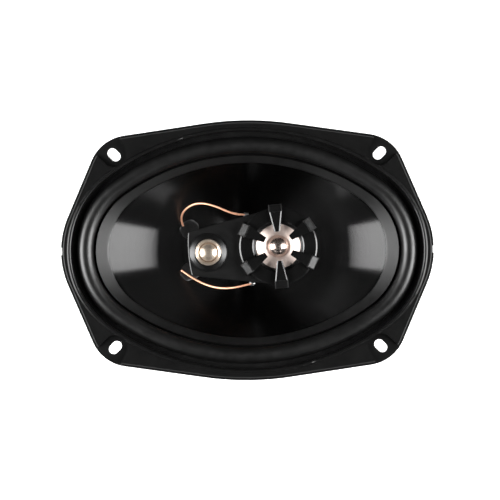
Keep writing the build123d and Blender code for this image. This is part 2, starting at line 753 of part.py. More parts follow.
def make_capacitor(side):
    """Crossover capacitor under the bridge, with its two wire legs."""
    x, y = CAPACITOR_PLACE
    can = Rot(90, 0, 0) * Cylinder(CAPACITOR_RADIUS, CAPACITOR_LENGTH)
    capacitor = fillet(can.edges(), CAPACITOR_ROUND)
    leg_y = side * (CAPACITOR_LENGTH + LEG_LENGTH - 0.2) / 2
    for leg_x in (-LEG_SPREAD, LEG_SPREAD):
        capacitor = capacitor + Pos(leg_x, leg_y, 0) * Rot(90, 0, 0) * Cylinder(LEG_RADIUS, LEG_LENGTH)
    return on_bridge(Pos(x, side * y, BRIDGE_BOTTOM - CAPACITOR_RADIUS - 0.1) * capacitor)


# ---------------------------------------------------------------- midrange driver
def arm_outline(widening=0.0):
    half_tip = CLAW_TIP_WIDTH / 2 + widening
    half_root = CLAW_ROOT_WIDTH / 2 + widening
    return polygon([
        (CLAW_TIP, -half_tip),
        (CLAW_SHOULDER + 0.2, -half_root),
        (CLAW_SHOULDER + 0.2, half_root),
        (CLAW_TIP, half_tip),
    ])


def claw():
    """One claw along +X: a tapered arm with bevelled sides and a sloping outer block."""
    bevel_width, bevel_height = CLAW_BEVEL
    shoulder = CLAW_TOP - bevel_height
    wide = arm_outline(bevel_width)
    arm = extrude(Pos(0, 0, MID_RING_TOP) * wide, shoulder - MID_RING_TOP)
    arm = arm + loft([Pos(0, 0, shoulder) * wide, Pos(0, 0, CLAW_TOP) * arm_outline()], ruled=True)
    half_width = CLAW_BLOCK_WIDTH / 2
    heel = MID_RING_RADIUS - 0.4
    plan = polygon([
        (CLAW_SHOULDER, -half_width),
        (CLAW_OUTER, -half_width),
        (CLAW_OUTER, half_width),
        (CLAW_SHOULDER, half_width),
    ])
    side_view = polygon([
        (CLAW_SHOULDER, MID_RING_TOP - 2),
        (CLAW_SHOULDER, CLAW_TOP),
        (CLAW_OUTER, CLAW_TOP - CLAW_DROP),
        (CLAW_OUTER, BRIDGE_TOP),
        (heel, BRIDGE_TOP),
        (heel, MID_RING_TOP - 2),
    ])
    block = extrude(Pos(0, 0, BRIDGE_TOP) * plan, 10) & extrude(Plane.XZ * side_view, 10, both=True)
    slope = block.faces().sort_by(Axis.Z)[-1]
    return arm + chamfer(slope.edges(), CLAW_BLOCK_BEVEL)


def make_mid_grille():
    bevel_width, bevel_height = MID_RING_BEVEL
    rubber_top = MID_FLANGE_TOP + MID_RUBBER + 0.05
    ring = turned([
        (MID_LIP_RECESS, rubber_top),
        (MID_LIP_RECESS, MID_LIP_BOTTOM),
        (MID_RING_INNER, MID_LIP_BOTTOM),
        (MID_RING_INNER, MID_RING_TOP - bevel_height),
        (MID_RING_INNER + bevel_width, MID_RING_TOP),
        (MID_RING_RADIUS - bevel_width, MID_RING_TOP),
        (MID_RING_RADIUS, MID_RING_TOP - bevel_height),
        (MID_RING_RADIUS, BRIDGE_TOP),
        (MID_FLANGE_RADIUS + 0.2, BRIDGE_TOP),
        (MID_FLANGE_RADIUS + 0.2, MID_FLANGE_TOP),
        (MID_SURROUND_OUTER + 0.1, MID_FLANGE_TOP),
        (MID_SURROUND_OUTER + 0.1, rubber_top),
    ])
    for index in range(CLAWS):
        ring = ring + Rot(0, 0, CLAW_FIRST_ANGLE + index * 360 / CLAWS) * claw()
    return on_bridge(ring, MID_X)


def make_mid_basket():
    outer_top, outer_bottom = MID_DISH_OUTER
    return on_bridge(turned([
        (MID_FLANGE_RADIUS, BRIDGE_TOP),
        (MID_FLANGE_RADIUS, MID_FLANGE_TOP),
        (MID_DISH_RIM, MID_FLANGE_TOP),
        (MID_DISH_FOOT, MID_DISH_TOP),
        (MID_YOKE_BORE, MID_DISH_TOP),
        (MID_YOKE_BORE, MID_DISH_BOTTOM),
        (outer_bottom, MID_DISH_BOTTOM),
        (outer_top, BRIDGE_TOP),
    ]), MID_X)


def make_mid_surround():
    low = MID_FLANGE_TOP
    high = low + MID_RUBBER
    crest = (MID_ROLL_OUTER + MID_ROLL_INNER) / 2
    under_inner = MID_ROLL_INNER + MID_ROLL_WALL
    under_outer = MID_ROLL_OUTER - MID_ROLL_WALL
    return on_bridge(turned_edges([
        Line((MID_SURROUND_OUTER, low), (MID_SURROUND_OUTER, high)),
        Line((MID_SURROUND_OUTER, high), (MID_ROLL_OUTER, high)),
        ThreePointArc((MID_ROLL_OUTER, high), (crest, high + MID_ROLL_HEIGHT), (MID_ROLL_INNER, high)),
        Line((MID_ROLL_INNER, high), (MID_CONE_EDGE, high)),
        Line((MID_CONE_EDGE, high), (MID_CONE_EDGE, low)),
        Line((MID_CONE_EDGE, low), (under_inner, low)),
        ThreePointArc((under_inner, low), (crest, low + MID_ROLL_HEIGHT), (under_outer, low)),
        Line((under_outer, low), (MID_SURROUND_OUTER, low)),
    ]), MID_X)


def make_mid_cone():
    top = MID_FLANGE_TOP
    return on_bridge(turned([
        (MID_CONE_RADIUS, top),
        (MID_CONE_EDGE, top),
        (MID_DOME_RADIUS, MID_DOME_BASE),
        (MID_DOME_RADIUS, MID_CONE_ROOT),
        (MID_CONE_EDGE + 0.1, top - MID_CONE_THICKNESS),
        (MID_CONE_RADIUS, top - MID_CONE_THICKNESS),
    ]), MID_X)


def dome_shell(radius, base, height, thickness):
    """Spherical cap shell about Z."""
    sphere = (radius ** 2 + height ** 2) / (2 * height)
    centre = base + height - sphere
    ball = Pos(0, 0, centre) * (Sphere(sphere) - Sphere(sphere - thickness))
    return ball & disc(radius + 1, base, base + height + 1)


def make_mid_dome():
    dome = dome_shell(MID_DOME_RADIUS, MID_DOME_BASE, MID_DOME_HEIGHT, MID_DOME_THICKNESS)
    return on_bridge(dome, MID_X)


def make_mid_voice_coil():
    former = tube(MID_FORMER_OUTER, MID_FORMER_INNER, MID_FORMER_BOTTOM, MID_FORMER_TOP)
    winding = tube(MID_WINDING_OUTER, MID_FORMER_OUTER, MID_WINDING_BOTTOM, MID_WINDING_TOP)
    return on_bridge(former + winding, MID_X)


def make_mid_magnet():
    return on_bridge(disc(MID_MAGNET_RADIUS, MID_YOKE_FLOOR, MID_WINDING_BOTTOM), MID_X)


def make_mid_pole_piece():
    return on_bridge(disc(MID_POLE_RADIUS, MID_WINDING_BOTTOM, MID_WINDING_TOP), MID_X)


def make_mid_yoke():
    cup = disc(MID_YOKE_RADIUS, MID_YOKE_BOTTOM, MID_DISH_BOTTOM)
    return on_bridge(cup - disc(MID_YOKE_BORE, MID_YOKE_FLOOR, MID_DISH_BOTTOM), MID_X)


# ---------------------------------------------------------------- small tweeter
def make_tweeter_housing():
    skirt = (TWEETER_SKIRT, BRIDGE_TOP)
    bend = (TWEETER_SKIRT - 0.5, BRIDGE_TOP + 0.8)
    mouth_x = TWEETER_MOUTH[0]
    return on_bridge(turned_edges([
        ThreePointArc(skirt, bend, TWEETER_SHOULDER),
        Line(TWEETER_SHOULDER, TWEETER_CREST),
        Line(TWEETER_CREST, TWEETER_MOUTH),
        Line(TWEETER_MOUTH, (mouth_x, TWEETER_SEAT)),
        Line((mouth_x, TWEETER_SEAT), (TWEETER_CUP_BORE, TWEETER_SEAT)),
        Line((TWEETER_CUP_BORE, TWEETER_SEAT), (TWEETER_CUP_BORE, TWEETER_CUP_BOTTOM)),
        Line((TWEETER_CUP_BORE, TWEETER_CUP_BOTTOM), (TWEETER_CUP_RADIUS, TWEETER_CUP_BOTTOM)),
        Line((TWEETER_CUP_RADIUS, TWEETER_CUP_BOTTOM), (TWEETER_CUP_RADIUS, BRIDGE_TOP)),
        Line((TWEETER_CUP_RADIUS, BRIDGE_TOP), skirt),
    ]), TWEETER_X)


def make_tweeter_ring():
    """Trim ring with a rounded crest and a dished slope down to the dome."""
    foot = (TWEETER_RING_BORE, TWEETER_RING_FOOT)
    shoulder = (TWEETER_RING_RADIUS, TWEETER_RING_SHOULDER)
    return on_bridge(turned_edges([
        Line((TWEETER_RING_RADIUS, TWEETER_SEAT), shoulder),
        ThreePointArc(shoulder, TWEETER_RING_CREST, TWEETER_RING_EDGE),
        Line(TWEETER_RING_EDGE, foot),
        Line(foot, (TWEETER_RING_BORE, TWEETER_SEAT)),
        Line((TWEETER_RING_BORE, TWEETER_SEAT), (TWEETER_RING_RADIUS, TWEETER_SEAT)),
    ]), TWEETER_X)


def make_tweeter_suspension():
    film = tube(TWEETER_RING_BORE - 0.05, TWEETER_DOME_RADIUS + 0.05, *TWEETER_FILM)
    return on_bridge(film, TWEETER_X)


def make_tweeter_dome():
    base = TWEETER_FILM[1]
    dome = dome_shell(TWEETER_DOME_RADIUS, base, TWEETER_DOME_HEIGHT, TWEETER_DOME_THICKNESS)
    return on_bridge(dome, TWEETER_X)


def make_tweeter_voice_coil():
    inner, outer = TWEETER_FORMER
    former = tube(outer, inner, *TWEETER_FORMER_HEIGHTS)
    winding = tube(TWEETER_WINDING_OUTER, outer, TWEETER_WINDING_BOTTOM, TWEETER_POLE_HEIGHTS[1])
    return on_bridge(former + winding, TWEETER_X)


def make_tweeter_magnet():
    return on_bridge(disc(TWEETER_MAGNET_RADIUS, TWEETER_MAGNET_BOTTOM, TWEETER_POLE_HEIGHTS[0]), TWEETER_X)


def make_tweeter_pole_piece():
    return on_bridge(disc(TWEETER_POLE_RADIUS, *TWEETER_POLE_HEIGHTS), TWEETER_X)


def make_tweeter_yoke():
    cup = disc(TWEETER_YOKE_RADIUS, TWEETER_YOKE_BOTTOM, TWEETER_SEAT)
    return on_bridge(cup - disc(TWEETER_YOKE_BORE, TWEETER_MAGNET_BOTTOM, TWEETER_SEAT), TWEETER_X)


# ---------------------------------------------------------------- terminals
BOARD_INNER = LUG_X - METAL
BOARD_OUTER = BOARD_INNER - BOARD_THICKNESS


def along_x(radius, start, finish, y, z):
    return Pos((start + finish) / 2, y, z) * Rot(0, 90, 0) * Cylinder(radius, finish - start)


def board_rivet_part(radius, start, finish, side):
    return along_x(radius, start, finish, side * BOARD_RIVET_Y, BOARD_RIVET_Z)


def terminal_rivet_shanks():
    return [board_rivet_part(BOARD_RIVET_RADIUS, BOARD_OUTER, LUG_X, side) for side in (1, -1)]


def make_terminal_rivets():
    rivets = []
    height = BOARD_RIVET_HEAD_HEIGHT
    for shank, side in zip(terminal_rivet_shanks(), (1, -1)):
        head = board_rivet_part(BOARD_RIVET_HEAD, BOARD_OUTER - height, BOARD_OUTER, side)
        tail = board_rivet_part(BOARD_RIVET_TAIL, LUG_X, LUG_X + height, side)
        rivets.append(shank + head + tail)
    return Compound(children=[Solid(rivet.solid().wrapped) for rivet in rivets])


def make_terminal_board():
    low, high = BOARD_HEIGHTS
    board = slab((BOARD_OUTER, -BOARD_HALF_WIDTH, low), (BOARD_INNER, BOARD_HALF_WIDTH, high))
    board = chamfer(board.edges().filter_by(Axis.X), BOARD_BEVEL)
    for shank in terminal_rivet_shanks():
        board = board - shank
    return board


def make_terminal(side, width):
    """Push-on blade: a foot on the board and a blade that points away from the basket."""
    y = side * TERMINAL_Y
    low, high = TAB_HEIGHTS
    tip = BOARD_OUTER - TAB_LENGTH
    foot = slab((BOARD_OUTER - TAB_THICKNESS, y - width / 2, low), (BOARD_OUTER, y + width / 2, high))
    blade = slab((tip, y - width / 2, low), (BOARD_OUTER, y + width / 2, low + TAB_THICKNESS))
    blade = chamfer(blade.edges().filter_by(Axis.Z).group_by(Axis.X)[0], TAB_BEVEL)
    dimple = Pos(tip + DIMPLE_INSET, y, low + TAB_THICKNESS / 2) * Cylinder(DIMPLE_RADIUS, 2)
    return foot + blade - dimple


# ---------------------------------------------------------------- leads
def corner_radii(points):
    """Largest tangent arc that two neighbouring runs allow at each corner."""
    radii = []
    for before, corner, after in zip(points, points[1:], points[2:]):
        arriving = Vector(*corner) - Vector(*before)
        leaving = Vector(*after) - Vector(*corner)
        half_turn = math.radians(arriving.get_angle(leaving)) / 2
        radii.append(0.45 * min(arriving.length, leaving.length) / math.tan(half_turn))
    return radii


def make_lead(name, points):
    radii = corner_radii(points)
    path = FilletPolyline(*points, radius=radii)
    start = Plane(origin=path @ 0, z_dir=path % 0)
    lead = sweep(start * Circle(LEAD_DIAMETER / 2), path=path)
    expected = math.pi * (LEAD_DIAMETER / 2) ** 2 * path.length
    shown = ", ".join(f"{radius:.1f}" for radius in radii)
    print(f"{name}: length {path.length:.1f}, radii {shown}, volume {lead.volume:.2f} of {expected:.2f}")
    return lead


# ---------------------------------------------------------------- write every piece
PIECES = {
    "basket": make_basket(),
    "basket_rivets": make_basket_rivets(),
    "front_gasket": make_front_gasket(),
    "surround": make_surround(),
    "woofer_cone": make_woofer_cone(),
    "lead_patch_upper": make_lead_patch(1),
    "lead_patch_lower": make_lead_patch(-1),
    "voice_coil_former": make_voice_coil_former(),
    "voice_coil_winding": make_voice_coil_winding(),
    "spider": make_spider(),
    "top_plate": make_top_plate(),
    "magnet_ring": make_magnet_ring(),
    "yoke": make_yoke(),
    "motor_screw": make_motor_screw(),
    "bridge_post": make_bridge_post(),
    "bridge_plate": make_bridge_plate(),
    "bridge_screw": make_bridge_screw(),
    "lead_tag_upper": make_lead_tag(TAG_UPPER),
    "lead_tag_lower": make_lead_tag(TAG_LOWER),
    "mid_capacitor": make_capacitor(1),
    "tweeter_capacitor": make_capacitor(-1),
    "mid_grille": make_mid_grille(),
    "mid_basket": make_mid_basket(),
    "mid_surround": make_mid_surround(),
    "mid_cone": make_mid_cone(),
    "mid_dome": make_mid_dome(),
    "mid_voice_coil": make_mid_voice_coil(),
    "mid_magnet": make_mid_magnet(),
    "mid_pole_piece": make_mid_pole_piece(),
    "mid_yoke": make_mid_yoke(),
    "tweeter_housing": make_tweeter_housing(),
    "tweeter_ring": make_tweeter_ring(),
    "tweeter_suspension": make_tweeter_suspension(),
    "tweeter_dome": make_tweeter_dome(),
    "tweeter_voice_coil": make_tweeter_voice_coil(),
    "tweeter_magnet": make_tweeter_magnet(),
    "tweeter_pole_piece": make_tweeter_pole_piece(),
    "tweeter_yoke": make_tweeter_yoke(),
    "terminal_board": make_terminal_board(),
    "terminal_rivets": make_terminal_rivets(),
    "positive_terminal": make_terminal(1, POSITIVE_WIDTH),
    "negative_terminal": make_terminal(-1, NEGATIVE_WIDTH),
    "front_lead_upper": make_lead("front_lead_upper", FRONT_LEAD_UPPER),
    "front_lead_lower": make_lead("front_lead_lower", FRONT_LEAD_LOWER),
    "rear_lead_positive": make_lead("rear_lead_positive", REAR_LEAD),
    "rear_lead_negative": make_lead("rear_lead_negative", [(x, -y, z) for x, y, z in REAR_LEAD]),
}

for piece_name, piece in PIECES.items():
    save(piece, piece_name)
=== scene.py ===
import math
import random
import bmesh
import bpy
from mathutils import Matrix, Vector
from mathutils.bvhtree import BVHTree


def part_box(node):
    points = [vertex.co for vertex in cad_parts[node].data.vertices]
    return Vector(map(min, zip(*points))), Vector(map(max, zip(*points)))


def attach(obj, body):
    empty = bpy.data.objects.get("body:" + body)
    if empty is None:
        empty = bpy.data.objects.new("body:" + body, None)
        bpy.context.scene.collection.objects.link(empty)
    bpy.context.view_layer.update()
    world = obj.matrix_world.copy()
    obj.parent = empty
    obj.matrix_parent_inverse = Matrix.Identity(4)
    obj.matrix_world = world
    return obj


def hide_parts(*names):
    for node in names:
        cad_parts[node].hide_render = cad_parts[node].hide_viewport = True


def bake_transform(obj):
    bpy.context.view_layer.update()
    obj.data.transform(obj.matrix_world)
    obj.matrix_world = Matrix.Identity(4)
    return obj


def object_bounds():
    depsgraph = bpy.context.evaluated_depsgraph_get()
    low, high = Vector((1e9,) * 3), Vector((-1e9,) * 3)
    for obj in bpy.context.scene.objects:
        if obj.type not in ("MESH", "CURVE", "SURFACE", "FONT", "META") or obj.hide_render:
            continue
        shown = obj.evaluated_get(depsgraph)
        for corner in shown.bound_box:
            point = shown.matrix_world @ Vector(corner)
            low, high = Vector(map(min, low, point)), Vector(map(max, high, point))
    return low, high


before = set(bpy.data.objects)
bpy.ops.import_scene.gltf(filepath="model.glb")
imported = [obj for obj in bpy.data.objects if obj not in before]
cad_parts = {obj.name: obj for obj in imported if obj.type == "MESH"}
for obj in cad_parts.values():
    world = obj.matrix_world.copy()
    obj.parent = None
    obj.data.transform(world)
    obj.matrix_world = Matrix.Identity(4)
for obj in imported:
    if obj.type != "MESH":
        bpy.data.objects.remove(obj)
CAD_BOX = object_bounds()
MM = 0.001
FULL_TURN = 2 * math.pi

# ---------------------------------------------------------------- sizes, in millimetres
# Every oval of the speaker is four tangent arcs; blend 1 is the full oval and blend 0 a circle.
OVAL_CENTRE = 53.0
OVAL_DIFFERENCE = 36.0
OVAL_DROP = OVAL_DIFFERENCE * (2 * OVAL_CENTRE - OVAL_DIFFERENCE) / (2 * (OVAL_CENTRE - OVAL_DIFFERENCE))
OVAL_REACH = math.hypot(OVAL_CENTRE, OVAL_DROP)
OVAL_TURN = math.atan2(OVAL_DROP, OVAL_CENTRE)
END_STEPS = 84
SIDE_STEPS = 96

SURROUND_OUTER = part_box("surround")[1][0] / MM
SURROUND_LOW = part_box("surround")[0][2] / MM
ROLL_OUTER = 107.6
ROLL_INNER = 98.0
ROLL_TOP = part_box("surround")[1][2] / MM
ROLL_WALL = 0.7
ROLL_STEPS = 40
RUBBER = 0.6
GLUE_BAND = 0.905            # share of the cone's slope at which the glued band ends

# Rounding between the roll's inner foot and the flat, out from ROLL_INNER and up from the flat.
ROLL_FOOT = ((0.1, 0.80), (-0.15, 0.46), (-0.5, 0.26), (-0.9, 0.13), (-1.35, 0.05), (-1.7, 0.0))

CONE_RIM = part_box("woofer_cone")[1][0] / MM
CONE_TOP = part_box("woofer_cone")[1][2] / MM
COLLAR_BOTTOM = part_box("woofer_cone")[0][2] / MM
CONE_THICKNESS = 0.8
NECK_RADIUS = 13.5
NECK_Z = -33.0
NECK_BORE = 13.3
COLLAR_RADIUS = 14.0
CONE_ROWS = 64
BAND_ROWS = 8
BAND_EDGE = 0.003            # rounding of the glued band's inner edge, as a share of the slope
BAND_EDGE_FOOT = 0.36        # height over the cone at which that rounding ends

PATCH_CENTRE = (-37.0, 13.6)
PATCH_RADIUS = 7.2
PATCH_HEIGHT = 0.6
PATCH_SIDE = 0.3             # depth of the daub's outer edge
PATCH_SINK = 0.2             # how far its middle reaches into the cone
PATCH_STEPS = 96
PATCH_WAVES = (2, 3, 5, 7)   # how often each unevenness repeats round the outline
PATCH_WAVE_SIZES = (0.010, 0.035)
PATCH_LARGEST = 0.95         # share of the radius that the daub may fill
# Section of a daub from its middle out, as shares of its radius and height.
PATCH_SECTION = (
    (0.0, 0.75),
    (0.12, 0.8),
    (0.3, 0.95),
    (0.5, 1.0),
    (0.7, 0.92),
    (0.85, 0.75),
    (0.94, 0.5),
    (1.0, 0.0),
)

SPIDER_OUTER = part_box("spider")[1][0] / MM
SPIDER_LANDING = -36.0
SPIDER_MIDDLE = -36.2
SPIDER_BORE = 13.3
SPIDER_FOLD = 46.6           # where the cloth rises on to the landing
SPIDER_WAVES = 6
SPIDER_WAVE_STEPS = 16
SPIDER_WAVE_INNER = 15.5
SPIDER_WAVE_OUTER = 45.5
SPIDER_WAVE_HEIGHT = 2.2
SPIDER_THICKNESS = 0.5

BRIDGE_TURN = math.radians(4.6)
BRIDGE_OFFSET = 0.8
BRIDGE_TOP = 8.0
MID_X = 19.5
TWEETER_X = -24.7
BLOCK_RADIUS = 21.6          # the claws' ribbed blocks lie outside this radius
BLOCK_BASE = 12.1            # and above this height
MID_SURROUND_OUTER = 17.5
MID_ROLL_OUTER = 15.9
MID_ROLL_INNER = 14.4
MID_ROLL_HEIGHT = 0.7
MID_ROLL_WALL = 0.3
MID_ROLL_STEPS = 16
MID_RUBBER = 0.4
MID_CONE_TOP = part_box("mid_cone")[1][2] / MM
MID_CONE_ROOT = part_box("mid_cone")[0][2] / MM
MID_CONE_RADIUS = 14.6
MID_CONE_EDGE = 14.0
MID_CONE_UNDER = 14.1
MID_CONE_THICKNESS = 0.5
MID_CONE_BREAK = (0.2, 0.05)  # softened corner under the edge of the rubber
MID_DOME_RADIUS = 7.1
MID_DOME_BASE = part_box("mid_dome")[0][2] / MM
MID_DOME_HEIGHT = 5.0
MID_DOME_THICKNESS = 0.4

# Pairs in the tweeter's sizes are a radius and a height, except in TWEETER_FILM.
TWEETER_SEAT = 6.0
TWEETER_CUP_RADIUS = 9.0
TWEETER_CUP_BORE = 7.8
TWEETER_CUP_BOTTOM = 1.0
TWEETER_SKIRT = 12.2
TWEETER_SKIRT_BEND = (11.7, 8.8)
TWEETER_SHOULDER = (10.9, 9.3)
TWEETER_SKIRT_STEPS = 12
TWEETER_CREST = ((9.25, 10.21), (9.05, 10.27), (8.85, 10.1))
TWEETER_MOUTH = (8.4, 9.7)
TWEETER_RING_RADIUS = 8.3
TWEETER_RING_ARC = ((8.3, 9.2), (7.9, 9.65), (7.3, 9.5))
TWEETER_RING_SLOPE = ((7.1, 9.36), (6.3, 8.5))
TWEETER_RING_STEPS = 16
TWEETER_RING_BORE = 6.3
TWEETER_FILM = (7.6, 7.9)    # bottom and top of the suspension
TWEETER_FILM_SAG = 0.2
TWEETER_FILM_EDGE = 0.1      # flat at both edges of the suspension
TWEETER_FILM_STEPS = 10
TWEETER_DOME_RADIUS = 5.5
TWEETER_DOME_HEIGHT = 1.7
TWEETER_DOME_THICKNESS = 0.3
TWEETER_FILM_GAP = 0.05      # between the suspension and the pieces beside it

TURN_STEPS = 128             # points round a turned piece
FINE_TURN_STEPS = 192

LEAD_DIAMETER = 1.3
FRONT_LEAD_UPPER = [
    (-41.2, 16.0, -18.6),
    (-42.6, 19.5, -16.0),
    (-41.2, 24.8, -10.4),
    (-35.5, 29.2, -4.0),
    (-28.0, 30.2, 0.4),
    (-19.5, 27.8, 3.2),
    (-11.5, 24.1, 4.6),
    (-5.6, 22.6, 4.9),
    (-1.2, 22.5, 4.7),
]
FRONT_LEAD_LOWER = [
    (-42.5, -12.7, -19.1),
    (-37.8, -16.0, -16.2),
    (-31.5, -19.6, -10.6),
    (-24.5, -22.6, -5.0),
    (-17.0, -24.1, -0.4),
    (-9.0, -23.8, 2.8),
    (-2.2, -22.2, 4.5),
    (3.0, -21.0, 4.7),
]
REAR_LEAD = [
    (-65.1, 6.0, -39.6),
    (-66.6, 6.0, -35.4),
    (-65.6, 6.6, -29.6),
    (-59.4, 8.6, -26.0),
    (-51.6, 11.6, -26.8),
    (-44.6, 13.4, -26.0),
    (-40.4, 13.8, -22.9),
]


# ---------------------------------------------------------------- mesh helpers
def new_piece(name, vertices, faces, uvs, sharp_angle):
    """A piece from vertices in millimetres and faces; uvs holds one (u, v) list per face."""
    mesh = bpy.data.meshes.new(name)
    mesh.from_pydata([Vector(vertex) * MM for vertex in vertices], [], faces)
    layer = mesh.uv_layers.new(name="UVMap")
    flat = [value for face in uvs for corner in face for value in corner]
    layer.data.foreach_set("uv", flat)
    shape = bmesh.new()
    shape.from_mesh(mesh)
    bmesh.ops.remove_doubles(shape, verts=shape.verts, dist=1e-7)
    bmesh.ops.recalc_face_normals(shape, faces=shape.faces)
    shape.to_mesh(mesh)
    shape.free()
    mesh.polygons.foreach_set("use_smooth", [True] * len(mesh.polygons))
    mesh.set_sharp_from_angle(angle=math.radians(sharp_angle))
    piece = bpy.data.objects.new(name, mesh)
    bpy.context.scene.collection.objects.link(piece)
    return piece


def ring_piece(name, rings, closed=True, sharp_angle=40.0):
    """A piece skinned over rings of points; closed joins the last ring back to the first.

    U runs along the section in millimetres and V once round the ring.
    """
    count = len(rings[0])
    vertices = [point for ring in rings for point in ring]
    distance = [0.0]
    for before, after in zip(rings, rings[1:] + rings[:1]):
        distance.append(distance[-1] + math.dist(before[0], after[0]))
    faces = []
    uvs = []
    for row in range(len(rings) if closed else len(rings) - 1):
        above = (row + 1) % len(rings)
        for column in range(count):
            beside = (column + 1) % count
            low_v = column / count
            high_v = (column + 1) / count
            faces.append((
                row * count + column,
                row * count + beside,
                above * count + beside,
                above * count + column,
            ))
            uvs.append((
                (distance[row], low_v),
                (distance[row], high_v),
                (distance[row + 1], high_v),
                (distance[row + 1], low_v),
            ))
    if not closed:
        faces.append(tuple(range(count)))
        uvs.append(tuple((0.0, 0.0) for _corner in range(count)))
        last = (len(rings) - 1) * count
        faces.append(tuple(range(last, last + count)))
        uvs.append(tuple((0.0, 0.0) for _corner in range(count)))
    return new_piece(name, vertices, faces, uvs, sharp_angle)


def arc_points(start, middle, finish, steps):
    """Points from start to finish, in equal steps, on the circle through three (r, z) points."""
    ax, ay = start
    bx, by = middle
    cx, cy = finish
    scale = 2 * (ax * (by - cy) + bx * (cy - ay) + cx * (ay - by))
    first = (ax * ax + ay * ay) * (by - cy)
    first += (bx * bx + by * by) * (cy - ay)
    first += (cx * cx + cy * cy) * (ay - by)
    second = (ax * ax + ay * ay) * (cx - bx)
    second += (bx * bx + by * by) * (ax - cx)
    second += (cx * cx + cy * cy) * (bx - ax)
    centre = (first / scale, second / scale)
    radius = math.dist(centre, start)
    begin = math.atan2(ay - centre[1], ax - centre[0])
    through = (math.atan2(by - centre[1], bx - centre[0]) - begin) % FULL_TURN
    end = (math.atan2(cy - centre[1], cx - centre[0]) - begin) % FULL_TURN
    if through > end:
        end -= FULL_TURN
    points = []
    for step in range(steps + 1):
        angle = begin + end * step / steps
        points.append((centre[0] + radius * math.cos(angle), centre[1] + radius * math.sin(angle)))
    return points


def oval_ring(semi_major, z, blend=1.0):
    """One ring of points round an oval, the same count and directions for every oval."""
    centre = blend * OVAL_CENTRE
    drop = blend * OVAL_DROP
    end_radius = semi_major - centre
    side_radius = end_radius + blend * OVAL_REACH
    arcs = (
        (centre, 0.0, end_radius, -OVAL_TURN, OVAL_TURN, END_STEPS),
        (0.0, -drop, side_radius, OVAL_TURN, math.pi - OVAL_TURN, SIDE_STEPS),
        (-centre, 0.0, end_radius, math.pi - OVAL_TURN, math.pi + OVAL_TURN, END_STEPS),
        (0.0, drop, side_radius, math.pi + OVAL_TURN, FULL_TURN - OVAL_TURN, SIDE_STEPS),
    )
    ring = []
    for x, y, radius, start, finish, steps in arcs:
        for step in range(steps):
            angle = start + (finish - start) * step / steps
            ring.append((x + radius * math.cos(angle), y + radius * math.sin(angle), z))
    return ring


def on_bridge(x):
    """Place in the object's frame of a spot on the bridge's own long axis."""
    return (x * math.cos(BRIDGE_TURN), BRIDGE_OFFSET + x * math.sin(BRIDGE_TURN))


def lathe(name, profile, centre=(0.0, 0.0), steps=TURN_STEPS):
    """A piece turned from a closed profile of (r, z) points about an upright axis."""
    rings = []
    for radius, z in profile:
        ring = []
        for step in range(steps):
            angle = FULL_TURN * step / steps
            ring.append((centre[0] + radius * math.cos(angle), centre[1] + radius * math.sin(angle), z))
        rings.append(ring)
    return ring_piece(name, rings)


def smooth_step(value):
    """Ease from 0 to 1 with no sudden change at either end."""
    value = min(max(value, 0.0), 1.0)
    return value * value * (3 - 2 * value)


def flex(piece, weight):
    """Bake a soft piece's placement into its mesh and work out weight(point in mm), which is 1 on the
    body, for each point.
    """
    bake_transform(piece)
    weights = [weight(vertex.co / MM) for vertex in piece.data.vertices]


def oval_size(point):
    """Semi-major axis of the full oval through a point."""
    x = abs(point[0])
    y = abs(point[1])
    angle = math.atan2(y, x - OVAL_CENTRE)
    if angle < OVAL_TURN:
        return OVAL_CENTRE + math.hypot(x - OVAL_CENTRE, y)
    return OVAL_CENTRE - OVAL_REACH + math.hypot(x, y + OVAL_DROP)


